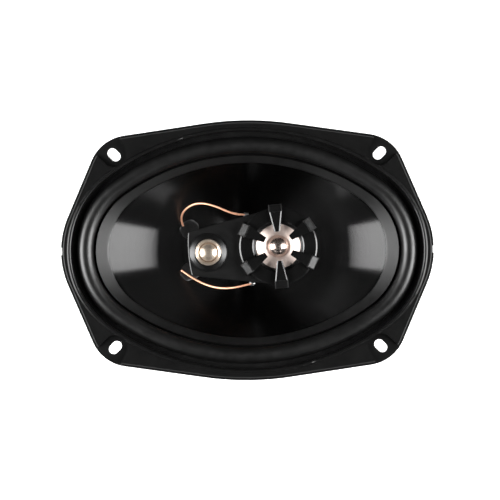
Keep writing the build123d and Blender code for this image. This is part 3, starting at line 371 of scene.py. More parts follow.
# ---------------------------------------------------------------- material helper
class Finish:
    """A procedural material: a Principled shader fed by noise in the object's own metres."""

    def __init__(self, name, **sockets):
        self.material = bpy.data.materials.new(name)
        self.material.use_nodes = True
        self.tree = self.material.node_tree
        self.shader = self.tree.nodes["Principled BSDF"]
        for socket, value in sockets.items():
            self.shader.inputs[socket.replace("_", " ")].default_value = value
        self.place = self.add("ShaderNodeTexCoord").outputs["Object"]

    def add(self, kind, **settings):
        node = self.tree.nodes.new(kind)
        for setting, value in settings.items():
            if hasattr(node, setting):
                setattr(node, setting, value)
            else:
                node.inputs[setting.replace("_", " ")].default_value = value
        return node

    def link(self, output, socket):
        self.tree.links.new(output, socket)

    def maths(self, operation, first, second=0.0):
        node = self.add("ShaderNodeMath", operation=operation)
        for socket, value in zip(node.inputs, (first, second)):
            if isinstance(value, (int, float)):
                socket.default_value = value
            else:
                self.link(value, socket)
        return node.outputs[0]

    def noise(self, grain_mm, detail=3.0):
        """Noise with features about grain_mm across."""
        node = self.add("ShaderNodeTexNoise", Scale=1.0 / (grain_mm * MM), Detail=detail, Roughness=0.55)
        self.link(self.place, node.inputs["Vector"])
        return node.outputs["Fac"]

    def cells(self, grain_mm):
        """Distance to the middle of the nearest of many small cells."""
        node = self.add("ShaderNodeTexVoronoi", Scale=1.0 / (grain_mm * MM))
        self.link(self.place, node.inputs["Vector"])
        return node.outputs["Distance"]

    def radius(self, centre=(0.0, 0.0)):
        """Distance in metres from an upright axis."""
        parts = self.add("ShaderNodeSeparateXYZ")
        self.link(self.place, parts.inputs[0])
        across = self.maths("SUBTRACT", parts.outputs[0], centre[0] * MM)
        along = self.maths("SUBTRACT", parts.outputs[1], centre[1] * MM)
        across_squared = self.maths("MULTIPLY", across, across)
        along_squared = self.maths("MULTIPLY", along, along)
        return self.maths("SQRT", self.maths("ADD", across_squared, along_squared))

    def lines(self, distance, pitch_mm, detail=2.0):
        """Uneven fine lines along a distance in metres."""
        node = self.add("ShaderNodeTexNoise", noise_dimensions="1D", Detail=detail, Roughness=0.7)
        node.inputs["Scale"].default_value = 1.0
        self.link(self.maths("MULTIPLY", distance, 1.0 / (pitch_mm * MM)), node.inputs["W"])
        return node.outputs["Fac"]

    def colour(self, factor, dark, light):
        """Base colour between two, following the middle of the noise's range."""
        ramp = self.add("ShaderNodeValToRGB")
        ramp.color_ramp.elements[0].position = 0.3
        ramp.color_ramp.elements[1].position = 0.7
        ramp.color_ramp.elements[0].color = (*dark, 1.0)
        ramp.color_ramp.elements[1].color = (*light, 1.0)
        self.link(factor, ramp.inputs["Fac"])
        self.link(ramp.outputs["Color"], self.shader.inputs["Base Color"])
        return self

    def roughness(self, factor, low, high, span=(0.3, 0.7)):
        """Roughness from low to high as the factor crosses the span."""
        node = self.add("ShaderNodeMapRange", From_Min=span[0], From_Max=span[1], To_Min=low, To_Max=high)
        self.link(factor, node.inputs["Value"])
        self.link(node.outputs[0], self.shader.inputs["Roughness"])
        return self

    def bump(self, factor, height_mm):
        """Relief of height_mm; a second call adds to the first."""
        node = self.add("ShaderNodeBump", Strength=1.0, Distance=height_mm * MM)
        self.link(factor, node.inputs["Height"])
        normal = self.shader.inputs["Normal"]
        if normal.is_linked:
            self.link(normal.links[0].from_socket, node.inputs["Normal"])
        self.link(node.outputs["Normal"], normal)
        return self

    def tangent(self):
        """Stretch highlights by the piece's own UV directions."""
        node = self.add("ShaderNodeTangent", direction_type="UV_MAP", uv_map="UVMap")
        self.link(node.outputs[0], self.shader.inputs["Tangent"])
        return self


def grey(value):
    """Neutral colour."""
    return (value, value, value)


# ---------------------------------------------------------------- finishes
def painted_steel():
    """Black electro-coated steel with a slight orange peel."""
    finish = Finish("painted_steel_black", Specular_IOR_Level=0.4)
    peel = finish.noise(1.4, detail=2.0)
    finish.colour(finish.noise(18.0), grey(0.0018), grey(0.003))
    finish.roughness(finish.noise(6.0), 0.28, 0.35)
    return finish.bump(peel, 0.02)


def trim_plastic():
    """Black moulded plastic with a fine spark-eroded grain."""
    finish = Finish("trim_plastic_black", Specular_IOR_Level=0.32)
    finish.colour(finish.noise(9.0), grey(0.0018), grey(0.0032))
    finish.roughness(finish.noise(2.5), 0.29, 0.35)
    return finish.bump(finish.noise(0.35, detail=1.0), 0.012)


def surround_rubber():
    """Black butyl rubber, softly glossy."""
    finish = Finish("surround_rubber_black", Specular_IOR_Level=0.5)
    finish.colour(finish.noise(14.0), grey(0.0012), grey(0.0026))
    finish.roughness(finish.noise(5.0), 0.34, 0.42)
    return finish.bump(finish.noise(0.5, detail=2.0), 0.006)


def cone_poly():
    """Black polypropylene with fine turned rings that stretch its highlights along the slope."""
    finish = Finish("cone_polypropylene_black", Specular_IOR_Level=0.6, Anisotropic=1.0)
    uv = finish.add("ShaderNodeUVMap", uv_map="UVMap")
    parts = finish.add("ShaderNodeSeparateXYZ")
    finish.link(uv.outputs[0], parts.inputs[0])
    slope = finish.maths("MULTIPLY", parts.outputs[0], MM)
    coarse = finish.lines(slope, 0.9, detail=2.0)
    finish.colour(coarse, grey(0.0002), grey(0.0007))
    finish.roughness(coarse, 0.18, 0.25)
    finish.bump(coarse, 0.003)
    return finish.tangent()


def patch_adhesive():
    """Black glue, glossy and uneven."""
    finish = Finish("patch_adhesive_black", Specular_IOR_Level=0.5)
    finish.colour(finish.noise(1.6), grey(0.004), grey(0.012))
    finish.roughness(finish.noise(2.2), 0.35, 0.55)
    return finish.bump(finish.noise(2.4, detail=4.0), 0.25)


def bridge_plastic():
    """Matt black glass-filled nylon."""
    finish = Finish("bridge_plastic_black", Specular_IOR_Level=0.4)
    finish.colour(finish.noise(7.0), grey(0.0022), grey(0.0036))
    finish.roughness(finish.noise(3.0), 0.32, 0.39)
    return finish.bump(finish.noise(0.3, detail=2.0), 0.02)


def gloss_black(name, low, high):
    """Glossy black moulding."""
    finish = Finish(name, Specular_IOR_Level=0.5)
    finish.colour(finish.noise(8.0), grey(0.0012), grey(0.0024))
    finish.roughness(finish.noise(4.0), low, high)
    return finish.bump(finish.noise(0.4, detail=2.0), 0.008)


def grille_plastic(centre, block_radius, block_height):
    """Glossy black moulding whose outer blocks have a rougher, finely ribbed face."""
    finish = Finish("grille_plastic_black", Specular_IOR_Level=0.5)
    finish.colour(finish.noise(8.0), grey(0.0012), grey(0.0024))
    parts = finish.add("ShaderNodeSeparateXYZ")
    finish.link(finish.place, parts.inputs[0])
    outside = finish.maths("GREATER_THAN", finish.radius(centre), block_radius * MM)
    above = finish.maths("GREATER_THAN", parts.outputs[2], block_height * MM)
    block = finish.maths("MULTIPLY", outside, above)
    finish.roughness(block, 0.27, 0.34, span=(0.0, 1.0))
    ribs = finish.lines(parts.outputs[1], 0.3, detail=1.0)
    return finish.bump(finish.maths("MULTIPLY", ribs, block), 0.05)


def champagne_metal(name, centre, roughness, metallic, colour_low, colour_high):
    """Anodised aluminium with faint spun rings about its own axis."""
    finish = Finish(name, Metallic=metallic)
    rings = finish.lines(finish.radius(centre), 0.25)
    finish.colour(finish.noise(3.0), colour_low, colour_high)
    finish.roughness(rings, roughness - 0.04, roughness + 0.05)
    return finish.bump(rings, 0.002)


def bare_metal(name, low, high, roughness, grain_mm=1.2, centre=None):
    """Plated or bare metal; with a centre it gets turned lines."""
    finish = Finish(name, Metallic=1.0)
    finish.colour(finish.noise(grain_mm * 5), low, high)
    if centre is None:
        marks = finish.noise(grain_mm, detail=4.0)
    else:
        marks = finish.lines(finish.radius(centre), 0.35, detail=4.0)
    finish.roughness(marks, roughness - 0.06, roughness + 0.08)
    return finish.bump(marks, 0.01)


def matte(name, low, high, grain_mm, roughness):
    """Plain non-metal with a grain."""
    finish = Finish(name)
    finish.colour(finish.noise(grain_mm * 4), low, high)
    finish.roughness(finish.noise(grain_mm * 2), roughness - 0.06, roughness + 0.08)
    return finish.bump(finish.noise(grain_mm, detail=4.0), 0.02)


def ferrite():
    """Sintered ferrite: dark grey, slightly pitted, ground flat."""
    finish = Finish("ferrite_grey", Specular_IOR_Level=0.6)
    finish.colour(finish.noise(1.2, detail=6.0), grey(0.018), grey(0.045))
    finish.roughness(finish.noise(2.0), 0.42, 0.62)
    finish.bump(finish.noise(0.7, detail=5.0), 0.04)
    return finish.bump(finish.cells(2.6), 0.03)


def copper(name, low, high, metallic=1.0):
    """Copper wire, enamelled or bare."""
    finish = Finish(name, Metallic=metallic)
    finish.colour(finish.noise(0.7), low, high)
    finish.roughness(finish.noise(0.4), 0.28, 0.42)
    return finish.bump(finish.noise(0.12, detail=2.0), 0.01)


def spider_cloth():
    """Resin-treated cotton with its weave."""
    finish = Finish("spider_cloth_yellow", Sheen_Weight=0.25)
    weave = finish.maths("MULTIPLY", weave_wave(finish, "X"), weave_wave(finish, "Y"))
    finish.colour(finish.noise(6.0), (0.42, 0.27, 0.09), (0.60, 0.42, 0.17))
    finish.roughness(finish.noise(2.0), 0.70, 0.85)
    return finish.bump(weave, 0.10)


def weave_wave(finish, direction):
    """Threads of the cloth that run one way."""
    node = finish.add("ShaderNodeTexWave", bands_direction=direction, Scale=300.0, Distortion=0.6)
    finish.link(finish.place, node.inputs["Vector"])
    return node.outputs["Fac"]


MID_CENTRE = on_bridge(MID_X)
TWEETER_CENTRE = on_bridge(TWEETER_X)
CHAMPAGNE_LOW = (0.70, 0.57, 0.51)
CHAMPAGNE_HIGH = (0.82, 0.69, 0.63)
RING_LOW = (0.56, 0.47, 0.38)
RING_HIGH = (0.68, 0.58, 0.48)
# The suspension film's champagne tint is its own. Its darkness, well below the ring's, is painted shade of
# the groove between the ring and the dome.
FILM_PAINTED_SHADE_LOW = (0.18, 0.12, 0.08)
FILM_PAINTED_SHADE_HIGH = (0.28, 0.20, 0.14)

FINISHES = {
    "painted_steel": painted_steel(),
    "trim_plastic": trim_plastic(),
    "surround_rubber": surround_rubber(),
    "cone_poly": cone_poly(),
    "patch_adhesive": patch_adhesive(),
    "bridge_plastic": bridge_plastic(),
    "tweeter_black": gloss_black("tweeter_satin_black", 0.29, 0.35),
    "grille_plastic": grille_plastic(MID_CENTRE, BLOCK_RADIUS, BLOCK_BASE),
    "mid_metal": champagne_metal("champagne_mid", MID_CENTRE, 0.40, 0.6, CHAMPAGNE_LOW, CHAMPAGNE_HIGH),
    "dome_metal": champagne_metal("champagne_dome", MID_CENTRE, 0.25, 1.0, CHAMPAGNE_LOW, CHAMPAGNE_HIGH),
    "tweeter_metal": champagne_metal("champagne_ring", TWEETER_CENTRE, 0.36, 0.9, RING_LOW, RING_HIGH),
    "tweeter_dome_metal": champagne_metal(
        "champagne_tweeter", TWEETER_CENTRE, 0.30, 0.9, RING_LOW, RING_HIGH
    ),
    # Suspension film: dark champagne-brown, painted shade of the groove round the tweeter dome.
    "tweeter_film_painted_shade": champagne_metal("champagne_film_painted_shade", TWEETER_CENTRE, 0.45, 0.5, FILM_PAINTED_SHADE_LOW, FILM_PAINTED_SHADE_HIGH),
    "zinc_plate": bare_metal("zinc_plate", grey(0.42), grey(0.55), 0.30, centre=(0.0, 0.0)),
    "screw_steel": bare_metal("screw_steel", grey(0.40), grey(0.52), 0.28),
    "post_black": bare_metal("post_black_steel", grey(0.02), grey(0.04), 0.38),
    "rivet_steel": bare_metal("rivet_steel", grey(0.38), grey(0.5), 0.34),
    "brass": bare_metal("terminal_brass", (0.62, 0.46, 0.20), (0.74, 0.57, 0.28), 0.26),
    "tin": bare_metal("tinned_metal", grey(0.55), grey(0.68), 0.30, grain_mm=0.6),
    "neodymium": bare_metal("nickel_neodymium", grey(0.5), grey(0.6), 0.22),
    "ferrite": ferrite(),
    "coil_copper": copper("enamelled_copper", (0.55, 0.20, 0.09), (0.72, 0.30, 0.14)),
    "lead_copper": copper("braided_copper", (0.86, 0.40, 0.24), (0.96, 0.54, 0.36), metallic=0.6),
    "kapton": matte("former_kapton_amber", (0.30, 0.13, 0.03), (0.42, 0.20, 0.05), 1.5, 0.30),
    "spider_cloth": spider_cloth(),
    "board": matte("board_phenolic_brown", (0.13, 0.065, 0.03), (0.20, 0.105, 0.05), 0.8, 0.45),
    "sleeve": matte("capacitor_sleeve_grey", (0.03, 0.035, 0.06), (0.05, 0.055, 0.09), 2.0, 0.30),
}

NODE_FINISHES = {
    "basket": "painted_steel",
    "basket_rivets": "rivet_steel",
    "front_gasket": "trim_plastic",
    "voice_coil_former": "kapton",
    "voice_coil_winding": "coil_copper",
    "top_plate": "zinc_plate",
    "magnet_ring": "ferrite",
    "yoke": "zinc_plate",
    "motor_screw": "screw_steel",
    "bridge_post": "post_black",
    "bridge_plate": "bridge_plastic",
    "bridge_screw": "post_black",
    "lead_tag_upper": "tin",
    "lead_tag_lower": "tin",
    "mid_capacitor": "sleeve",
    "tweeter_capacitor": "sleeve",
    "mid_grille": "grille_plastic",
    "mid_basket": "bridge_plastic",
    "mid_voice_coil": "coil_copper",
    "mid_magnet": "neodymium",
    "mid_pole_piece": "zinc_plate",
    "mid_yoke": "post_black",
    "tweeter_voice_coil": "coil_copper",
    "tweeter_magnet": "neodymium",
    "tweeter_pole_piece": "zinc_plate",
    "tweeter_yoke": "post_black",
    "terminal_board": "board",
    "terminal_rivets": "brass",
    "positive_terminal": "brass",
    "negative_terminal": "brass",
}


for node, finish in NODE_FINISHES.items():
    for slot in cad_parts[node].material_slots:
        slot.material = FINISHES[finish].material


def finish_piece(piece, finish, node, body=None):
    """Give a new piece its material, hide the node it stands for and attach the piece to its body."""
    piece.data.materials.append(FINISHES[finish].material)
    if node:
        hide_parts(node)
    if body:
        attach(piece, body)
    return piece


# ---------------------------------------------------------------- cone and surround
def cone_row(along, lift):
    """Ring of the cone's surface; along is 0 at the neck and 1 at the rim."""
    size = NECK_RADIUS + (CONE_RIM - NECK_RADIUS) * along
    z = NECK_Z + (CONE_TOP - NECK_Z) * along
    return oval_ring(size, z + lift, along)


def make_cone():
    """Cone whose section changes from a circle at the neck to an oval at the rim."""
    rings = [oval_ring(NECK_BORE, COLLAR_BOTTOM, 0.0), oval_ring(NECK_BORE, NECK_Z, 0.0)]
    rings += [cone_row(row / CONE_ROWS, 0.0) for row in range(CONE_ROWS + 1)]
    rings += [cone_row(row / CONE_ROWS, -CONE_THICKNESS) for row in range(CONE_ROWS, 0, -1)]
    rings.append(oval_ring(COLLAR_RADIUS, COLLAR_BOTTOM, 0.0))
    piece = ring_piece("woofer_cone_shell", rings, True, 30.0)
    return finish_piece(piece, "cone_poly", "woofer_cone", "cone_assembly")


def make_surround():
    """Half roll with a flat rim under the gasket and a band glued on the cone's slope."""
    flat = SURROUND_LOW + RUBBER
    middle = (ROLL_OUTER + ROLL_INNER) / 2
    low_crest = ROLL_TOP - ROLL_WALL
    profile = [(SURROUND_OUTER, SURROUND_LOW), (SURROUND_OUTER, flat)]
    profile += arc_points((ROLL_OUTER, flat), (middle, ROLL_TOP), (ROLL_INNER, flat), ROLL_STEPS)[:-1]
    profile += [(ROLL_INNER + out, flat + rise) for out, rise in ROLL_FOOT]
    rings = [oval_ring(size, z) for size, z in profile]
    band = [1.0 - (1.0 - GLUE_BAND) * step / BAND_ROWS for step in range(BAND_ROWS + 1)]
    rings += [cone_row(along, RUBBER) for along in band[:-1]]
    rings.append(cone_row(band[-1] + BAND_EDGE, RUBBER))
    rings.append(cone_row(band[-1], BAND_EDGE_FOOT))
    rings.append(cone_row(band[-1], 0.0))
    rings.append(cone_row(1.0, 0.0))
    inner_foot = (ROLL_INNER + ROLL_WALL, SURROUND_LOW)
    outer_foot = (ROLL_OUTER - ROLL_WALL, SURROUND_LOW)
    underside = arc_points(inner_foot, (middle, low_crest), outer_foot, ROLL_STEPS)
    rings += [oval_ring(size, z) for size, z in underside]
    piece = ring_piece("surround_roll", rings, True, 35.0)
    finish_piece(piece, "surround_rubber", "surround")

    def weight(point):
        return smooth_step((ROLL_OUTER - oval_size(point)) / (ROLL_OUTER - ROLL_INNER))

    flex(piece, weight)


cone = make_cone()
CONE_SURFACE = BVHTree.FromPolygons(
    [vertex.co.copy() for vertex in cone.data.vertices],
    [tuple(face.vertices) for face in cone.data.polygons],
)
RAY_START = 0.05             # metres, in front of the whole cone


def cone_height(x, y):
    """Height in millimetres of the cone's front surface under a point."""
    hit = CONE_SURFACE.ray_cast(Vector((x * MM, y * MM, RAY_START)), Vector((0.0, 0.0, -1.0)))
    return hit[0].z / MM


def make_patch(name, node, side, seed):
    """A daub of glue round the place where a lead passes through the cone."""
    dice = random.Random(seed)
    waves = [(count, dice.uniform(*PATCH_WAVE_SIZES), dice.uniform(0, FULL_TURN)) for count in PATCH_WAVES]
    centre_x, centre_y = PATCH_CENTRE
    rings = []
    for share, lift in PATCH_SECTION:
        ring = []
        for step in range(PATCH_STEPS):
            angle = FULL_TURN * step / PATCH_STEPS
            reach = PATCH_LARGEST - sum(size for _count, size, _phase in waves)
            reach += sum(size * math.cos(count * angle + phase) for count, size, phase in waves)
            x = centre_x + PATCH_RADIUS * reach * share * math.cos(angle)
            y = side * centre_y + PATCH_RADIUS * reach * share * math.sin(angle)
            ring.append((x, y, cone_height(x, y) + PATCH_HEIGHT * lift))
        rings.append(ring)
    middle_depth = PATCH_HEIGHT * PATCH_SECTION[0][1] + PATCH_SINK
    rings.append([(x, y, z - PATCH_SIDE) for x, y, z in rings[-1]])
    rings.append([(x, y, z - middle_depth) for x, y, z in rings[0]])
    piece = ring_piece(name, rings, True, 60.0)
    finish_piece(piece, "patch_adhesive", node, "cone_assembly")


make_surround()
make_patch("adhesive_patch_upper", "lead_patch_upper", 1, 11)
make_patch("adhesive_patch_lower", "lead_patch_lower", -1, 23)


# ---------------------------------------------------------------- spider
def make_spider():
    """Corrugated cloth disc that centres the coil."""
    steps = SPIDER_WAVE_STEPS * SPIDER_WAVES
    upper = [(SPIDER_BORE, SPIDER_MIDDLE)]
    for step in range(steps + 1):
        share = step / steps
        radius = SPIDER_WAVE_INNER + (SPIDER_WAVE_OUTER - SPIDER_WAVE_INNER) * share
        rise = SPIDER_WAVE_HEIGHT / 2 * math.sin(FULL_TURN * SPIDER_WAVES * share)
        upper.append((radius, SPIDER_MIDDLE + rise))
    upper.append((SPIDER_FOLD, SPIDER_LANDING))
    upper.append((SPIDER_OUTER, SPIDER_LANDING))
    lower = [(radius, z + SPIDER_THICKNESS) for radius, z in reversed(upper)]
    piece = lathe("spider_disc", upper + lower, steps=FINE_TURN_STEPS)
    finish_piece(piece, "spider_cloth", "spider")

    def weight(point):
        radius = math.hypot(point[0], point[1])
        return smooth_step((SPIDER_WAVE_OUTER - radius) / (SPIDER_WAVE_OUTER - SPIDER_WAVE_INNER))

    flex(piece, weight)


make_spider()


# ---------------------------------------------------------------- midrange
def dome_profile(radius, base, height, thickness, steps=28):
    """Closed section of a thin spherical cap."""
    sphere = (radius ** 2 + height ** 2) / (2 * height)
    centre = base + height - sphere
    spread = math.asin(radius / sphere)
    outer = []
    inner = []
    for step in range(steps + 1):
        angle = spread * (1 - step / steps)
        outer.append((sphere * math.sin(angle), centre + sphere * math.cos(angle)))
        thin = sphere - thickness
        inner.append((thin * math.sin(angle), centre + thin * math.cos(angle)))
    return outer + inner[::-1]


def make_mid_surround():
    """Small half roll between the basket and the metal cone."""
    low = MID_CONE_TOP
    high = low + MID_RUBBER
    middle = (MID_ROLL_OUTER + MID_ROLL_INNER) / 2
    top_crest = (middle, high + MID_ROLL_HEIGHT)
    low_crest = (middle, low + MID_ROLL_HEIGHT)
    inner_foot = (MID_ROLL_INNER + MID_ROLL_WALL, low)
    outer_foot = (MID_ROLL_OUTER - MID_ROLL_WALL, low)
    profile = [(MID_SURROUND_OUTER, low), (MID_SURROUND_OUTER, high)]
    profile += arc_points((MID_ROLL_OUTER, high), top_crest, (MID_ROLL_INNER, high), MID_ROLL_STEPS)
    profile += [(MID_CONE_EDGE, high), (MID_CONE_EDGE, low)]
    profile += arc_points(inner_foot, low_crest, outer_foot, MID_ROLL_STEPS)
    piece = lathe("mid_surround_roll", profile, MID_CENTRE)
    finish_piece(piece, "surround_rubber", "mid_surround")

    def weight(point):
        radius = math.dist(point[:2], MID_CENTRE)
        return smooth_step((MID_ROLL_OUTER - radius) / (MID_ROLL_OUTER - MID_ROLL_INNER))

    flex(piece, weight)


def make_mid_cone():
    """Metal cone from the roll down to the dome."""
    top = MID_CONE_TOP
    break_width, break_depth = MID_CONE_BREAK
    profile = [
        (MID_CONE_RADIUS, top - MID_CONE_THICKNESS),
        (MID_CONE_RADIUS, top),
        (MID_CONE_EDGE, top),
        (MID_CONE_EDGE - break_width, top - break_depth),
        (MID_DOME_RADIUS, MID_DOME_BASE),
        (MID_DOME_RADIUS, MID_CONE_ROOT),
        (MID_CONE_UNDER, top - MID_CONE_THICKNESS),
    ]
    piece = lathe("mid_cone_shell", profile, MID_CENTRE, steps=FINE_TURN_STEPS)
    finish_piece(piece, "mid_metal", "mid_cone", "mid_diaphragm")


def make_mid_dome():
    """Cap over the midrange coil."""
    profile = dome_profile(MID_DOME_RADIUS, MID_DOME_BASE, MID_DOME_HEIGHT, MID_DOME_THICKNESS)
    piece = lathe("mid_dome_cap", profile, MID_CENTRE)
    finish_piece(piece, "dome_metal", "mid_dome", "mid_diaphragm")


make_mid_surround()
make_mid_cone()
make_mid_dome()


# ---------------------------------------------------------------- tweeter
def make_tweeter_housing():
    """Cup let into the bridge, with a skirt that rises to a crest round the mouth."""
    profile = [(TWEETER_CUP_RADIUS, BRIDGE_TOP)]
    skirt = (TWEETER_SKIRT, BRIDGE_TOP)
    profile += arc_points(skirt, TWEETER_SKIRT_BEND, TWEETER_SHOULDER, TWEETER_SKIRT_STEPS)
    profile += [*TWEETER_CREST, TWEETER_MOUTH]
    profile += [(TWEETER_MOUTH[0], TWEETER_SEAT), (TWEETER_CUP_BORE, TWEETER_SEAT)]
    profile += [(TWEETER_CUP_BORE, TWEETER_CUP_BOTTOM), (TWEETER_CUP_RADIUS, TWEETER_CUP_BOTTOM)]
    piece = lathe("tweeter_cup", profile, TWEETER_CENTRE)
    finish_piece(piece, "tweeter_black", "tweeter_housing", "frame")


def make_tweeter_ring():
    """Trim ring in the cup's mouth, falling towards its bore."""
    profile = [(TWEETER_RING_RADIUS, TWEETER_SEAT)]
    profile += arc_points(*TWEETER_RING_ARC, TWEETER_RING_STEPS)
    profile += [*TWEETER_RING_SLOPE, (TWEETER_RING_BORE, TWEETER_SEAT)]
    piece = lathe("tweeter_trim_ring", profile, TWEETER_CENTRE)
    finish_piece(piece, "tweeter_metal", "tweeter_ring", "frame")


def make_tweeter_suspension():
    """Dished film between the ring and the dome."""
    low, high = TWEETER_FILM
    inner = TWEETER_DOME_RADIUS + TWEETER_FILM_GAP
    outer = TWEETER_RING_BORE - TWEETER_FILM_GAP
    sag = ((inner + outer) / 2, high - TWEETER_FILM_SAG)
    outer_edge = (outer - TWEETER_FILM_EDGE, high)
    inner_edge = (inner + TWEETER_FILM_EDGE, high)
    profile = [(outer, low), (outer, high)]
    profile += arc_points(outer_edge, sag, inner_edge, TWEETER_FILM_STEPS)
    profile += [(inner, high), (inner, low)]
    piece = lathe("tweeter_edge", profile, TWEETER_CENTRE)
    finish_piece(piece, "tweeter_film_painted_shade", "tweeter_suspension")

    def weight(point):
        return smooth_step((outer - math.dist(point[:2], TWEETER_CENTRE)) / (outer - inner))

    flex(piece, weight)


def make_tweeter_dome():
    """Cap over the tweeter coil."""
    base = TWEETER_FILM[1]
    profile = dome_profile(TWEETER_DOME_RADIUS, base, TWEETER_DOME_HEIGHT, TWEETER_DOME_THICKNESS)
    piece = lathe("tweeter_dome_cap", profile, TWEETER_CENTRE)
    finish_piece(piece, "tweeter_dome_metal", "tweeter_dome", "tweeter_diaphragm")


make_tweeter_housing()
make_tweeter_ring()
make_tweeter_suspension()
make_tweeter_dome()


# ---------------------------------------------------------------- leads
BRAID_STRANDS = 6            # strands wound each way
BRAID_PITCH = 5.0            # millimetres along the lead for one turn of a strand
BRAID_AROUND = 24            # points round the lead
BRAID_STEP = 0.16
BRAID_CORE = 0.80            # share of the lead's radius under the strands
BRAID_RELIEF = 0.15          # share of it that a strand stands out
BRAID_CROSSING = 0.3         # how far a strand rises or dips where two cross

SOLDER_SIZE = (1.9, 1.2, 1.4)
SOLDER_BULGE = 0.75          # height of the drop as a share of its third size
SOLDER_UPPER = (-1.0, 22.4, 4.3)
SOLDER_LOWER = (2.9, -21.0, 4.3)
SOLDER_STEPS = 40
SOLDER_ROWS = 12
SOLDER_SINK = 0.2            # how far the drop reaches into the tag
SOLDER_LOBES = 3
SOLDER_UNEVENNESS = 0.06


def route_line(name, points):
    """Smooth line through a route: points of a NURBS curve that has the route as control points."""
    curve = bpy.data.curves.new(name, "CURVE")
    curve.dimensions = "3D"
    curve.resolution_u = 20
    spline = curve.splines.new("NURBS")
    spline.points.add(len(points) - 1)
    for control, point in zip(spline.points, points):
        control.co = (*(Vector(point) * MM), 1.0)
    spline.order_u = 3
    spline.use_endpoint_u = True
    carrier = bpy.data.objects.new(name, curve)
    mesh = bpy.data.meshes.new_from_object(carrier)
    line = [vertex.co.copy() for vertex in mesh.vertices]
    bpy.data.meshes.remove(mesh)
    bpy.data.objects.remove(carrier)
    bpy.data.curves.remove(curve)
    return line


def line_length(line):
    """Length in metres along a line of points."""
    return sum((after - before).length for before, after in zip(line, line[1:]))


def even_points(line, step):
    """Points a step apart along a line, with the distance of each from its start."""
    total = line_length(line)
    count = max(2, round(total / step))
    walked = [0.0]
    for before, after in zip(line, line[1:]):
        walked.append(walked[-1] + (after - before).length)
    points = []
    segment = 0
    for index in range(count + 1):
        distance = total * index / count
        while segment < len(line) - 2 and walked[segment + 1] < distance:
            segment += 1
        share = (distance - walked[segment]) / (walked[segment + 1] - walked[segment])
        points.append((line[segment].lerp(line[segment + 1], share), distance))
    return points


def strand_height(position):
    """Half-round profile of strands that lie side by side, 0 between them and 1 on top."""
    across = 2 * (position - math.floor(position)) - 1
    return math.sqrt(max(0.0, 1 - across * across))


def braid_height(turn, distance):
    """Relief of two families of strands that pass over and under each other."""
    right = BRAID_STRANDS * (turn + distance / BRAID_PITCH)
    left = BRAID_STRANDS * (turn - distance / BRAID_PITCH)
    right_on_top = (math.floor(right) + math.floor(left)) % 2 == 0
    over = BRAID_CROSSING if right_on_top else -BRAID_CROSSING
    return max(strand_height(right) + over, strand_height(left) - over)


def make_lead(name, node, points, cone_first):
    """A braided lead along its route. cone_first picks the end of the route on the cone's side; that end
    is not used.
    """
    line = route_line(name + "_route", points)
    length = line_length(line)
    rings = []
    side = Vector((0.0, 0.0, 1.0))
    stations = even_points(line, BRAID_STEP * MM)
    for index, (point, distance) in enumerate(stations):
        before = stations[max(index - 1, 0)][0]
        after = stations[min(index + 1, len(stations) - 1)][0]
        along = (after - before).normalized()
        side = (side - along * side.dot(along)).normalized()
        other = along.cross(side)
        ring = []
        for step in range(BRAID_AROUND):
            turn = step / BRAID_AROUND
            relief = BRAID_RELIEF * braid_height(turn, distance / MM)
            reach = LEAD_DIAMETER / 2 * (BRAID_CORE + relief)
            offset = side * math.cos(FULL_TURN * turn) + other * math.sin(FULL_TURN * turn)
            ring.append(tuple(point / MM + offset * reach))
        rings.append(ring)
    piece = ring_piece(name, rings, False, 180.0)
    finish_piece(piece, "lead_copper", node)
    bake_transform(piece)
    tuple(line[-1] if cone_first else line[0])
    [tuple(point) for point in line]


def make_solder(name, centre):
    """A drop of solder on a lead's end, a little uneven in outline."""
    section = dome_profile(1.0, 0.0, SOLDER_BULGE, 0.5, SOLDER_ROWS)
    upper_half = section[: SOLDER_ROWS + 1]
    low = centre[2] - SOLDER_SINK
    rings = []
    for radius, z in upper_half:
        ring = []
        for step in range(SOLDER_STEPS):
            angle = FULL_TURN * step / SOLDER_STEPS
            wobble = 1 + SOLDER_UNEVENNESS * math.sin(SOLDER_LOBES * angle + 1.0)
            ring.append((
                centre[0] + SOLDER_SIZE[0] * radius * wobble * math.cos(angle),
                centre[1] + SOLDER_SIZE[1] * radius * wobble * math.sin(angle),
                centre[2] + SOLDER_SIZE[2] * z,
            ))
        rings.append(ring)
    edge = [(x, y, low) for x, y, _z in rings[0]]
    bottom = [(centre[0], centre[1], low)] * SOLDER_STEPS
    top = [rings[-1][0]] * SOLDER_STEPS
    piece = ring_piece(name, [bottom, edge] + rings + [top], True, 50.0)
    finish_piece(piece, "tin", None, "frame")


make_lead("front_lead_braid_upper", "front_lead_upper", FRONT_LEAD_UPPER, True)
make_lead("front_lead_braid_lower", "front_lead_lower", FRONT_LEAD_LOWER, True)
make_lead("rear_lead_braid_positive", "rear_lead_positive", REAR_LEAD, False)
make_lead("rear_lead_braid_negative", "rear_lead_negative", [(x, -y, z) for x, y, z in REAR_LEAD], False)
make_solder("solder_upper", SOLDER_UPPER)
make_solder("solder_lower", SOLDER_LOWER)


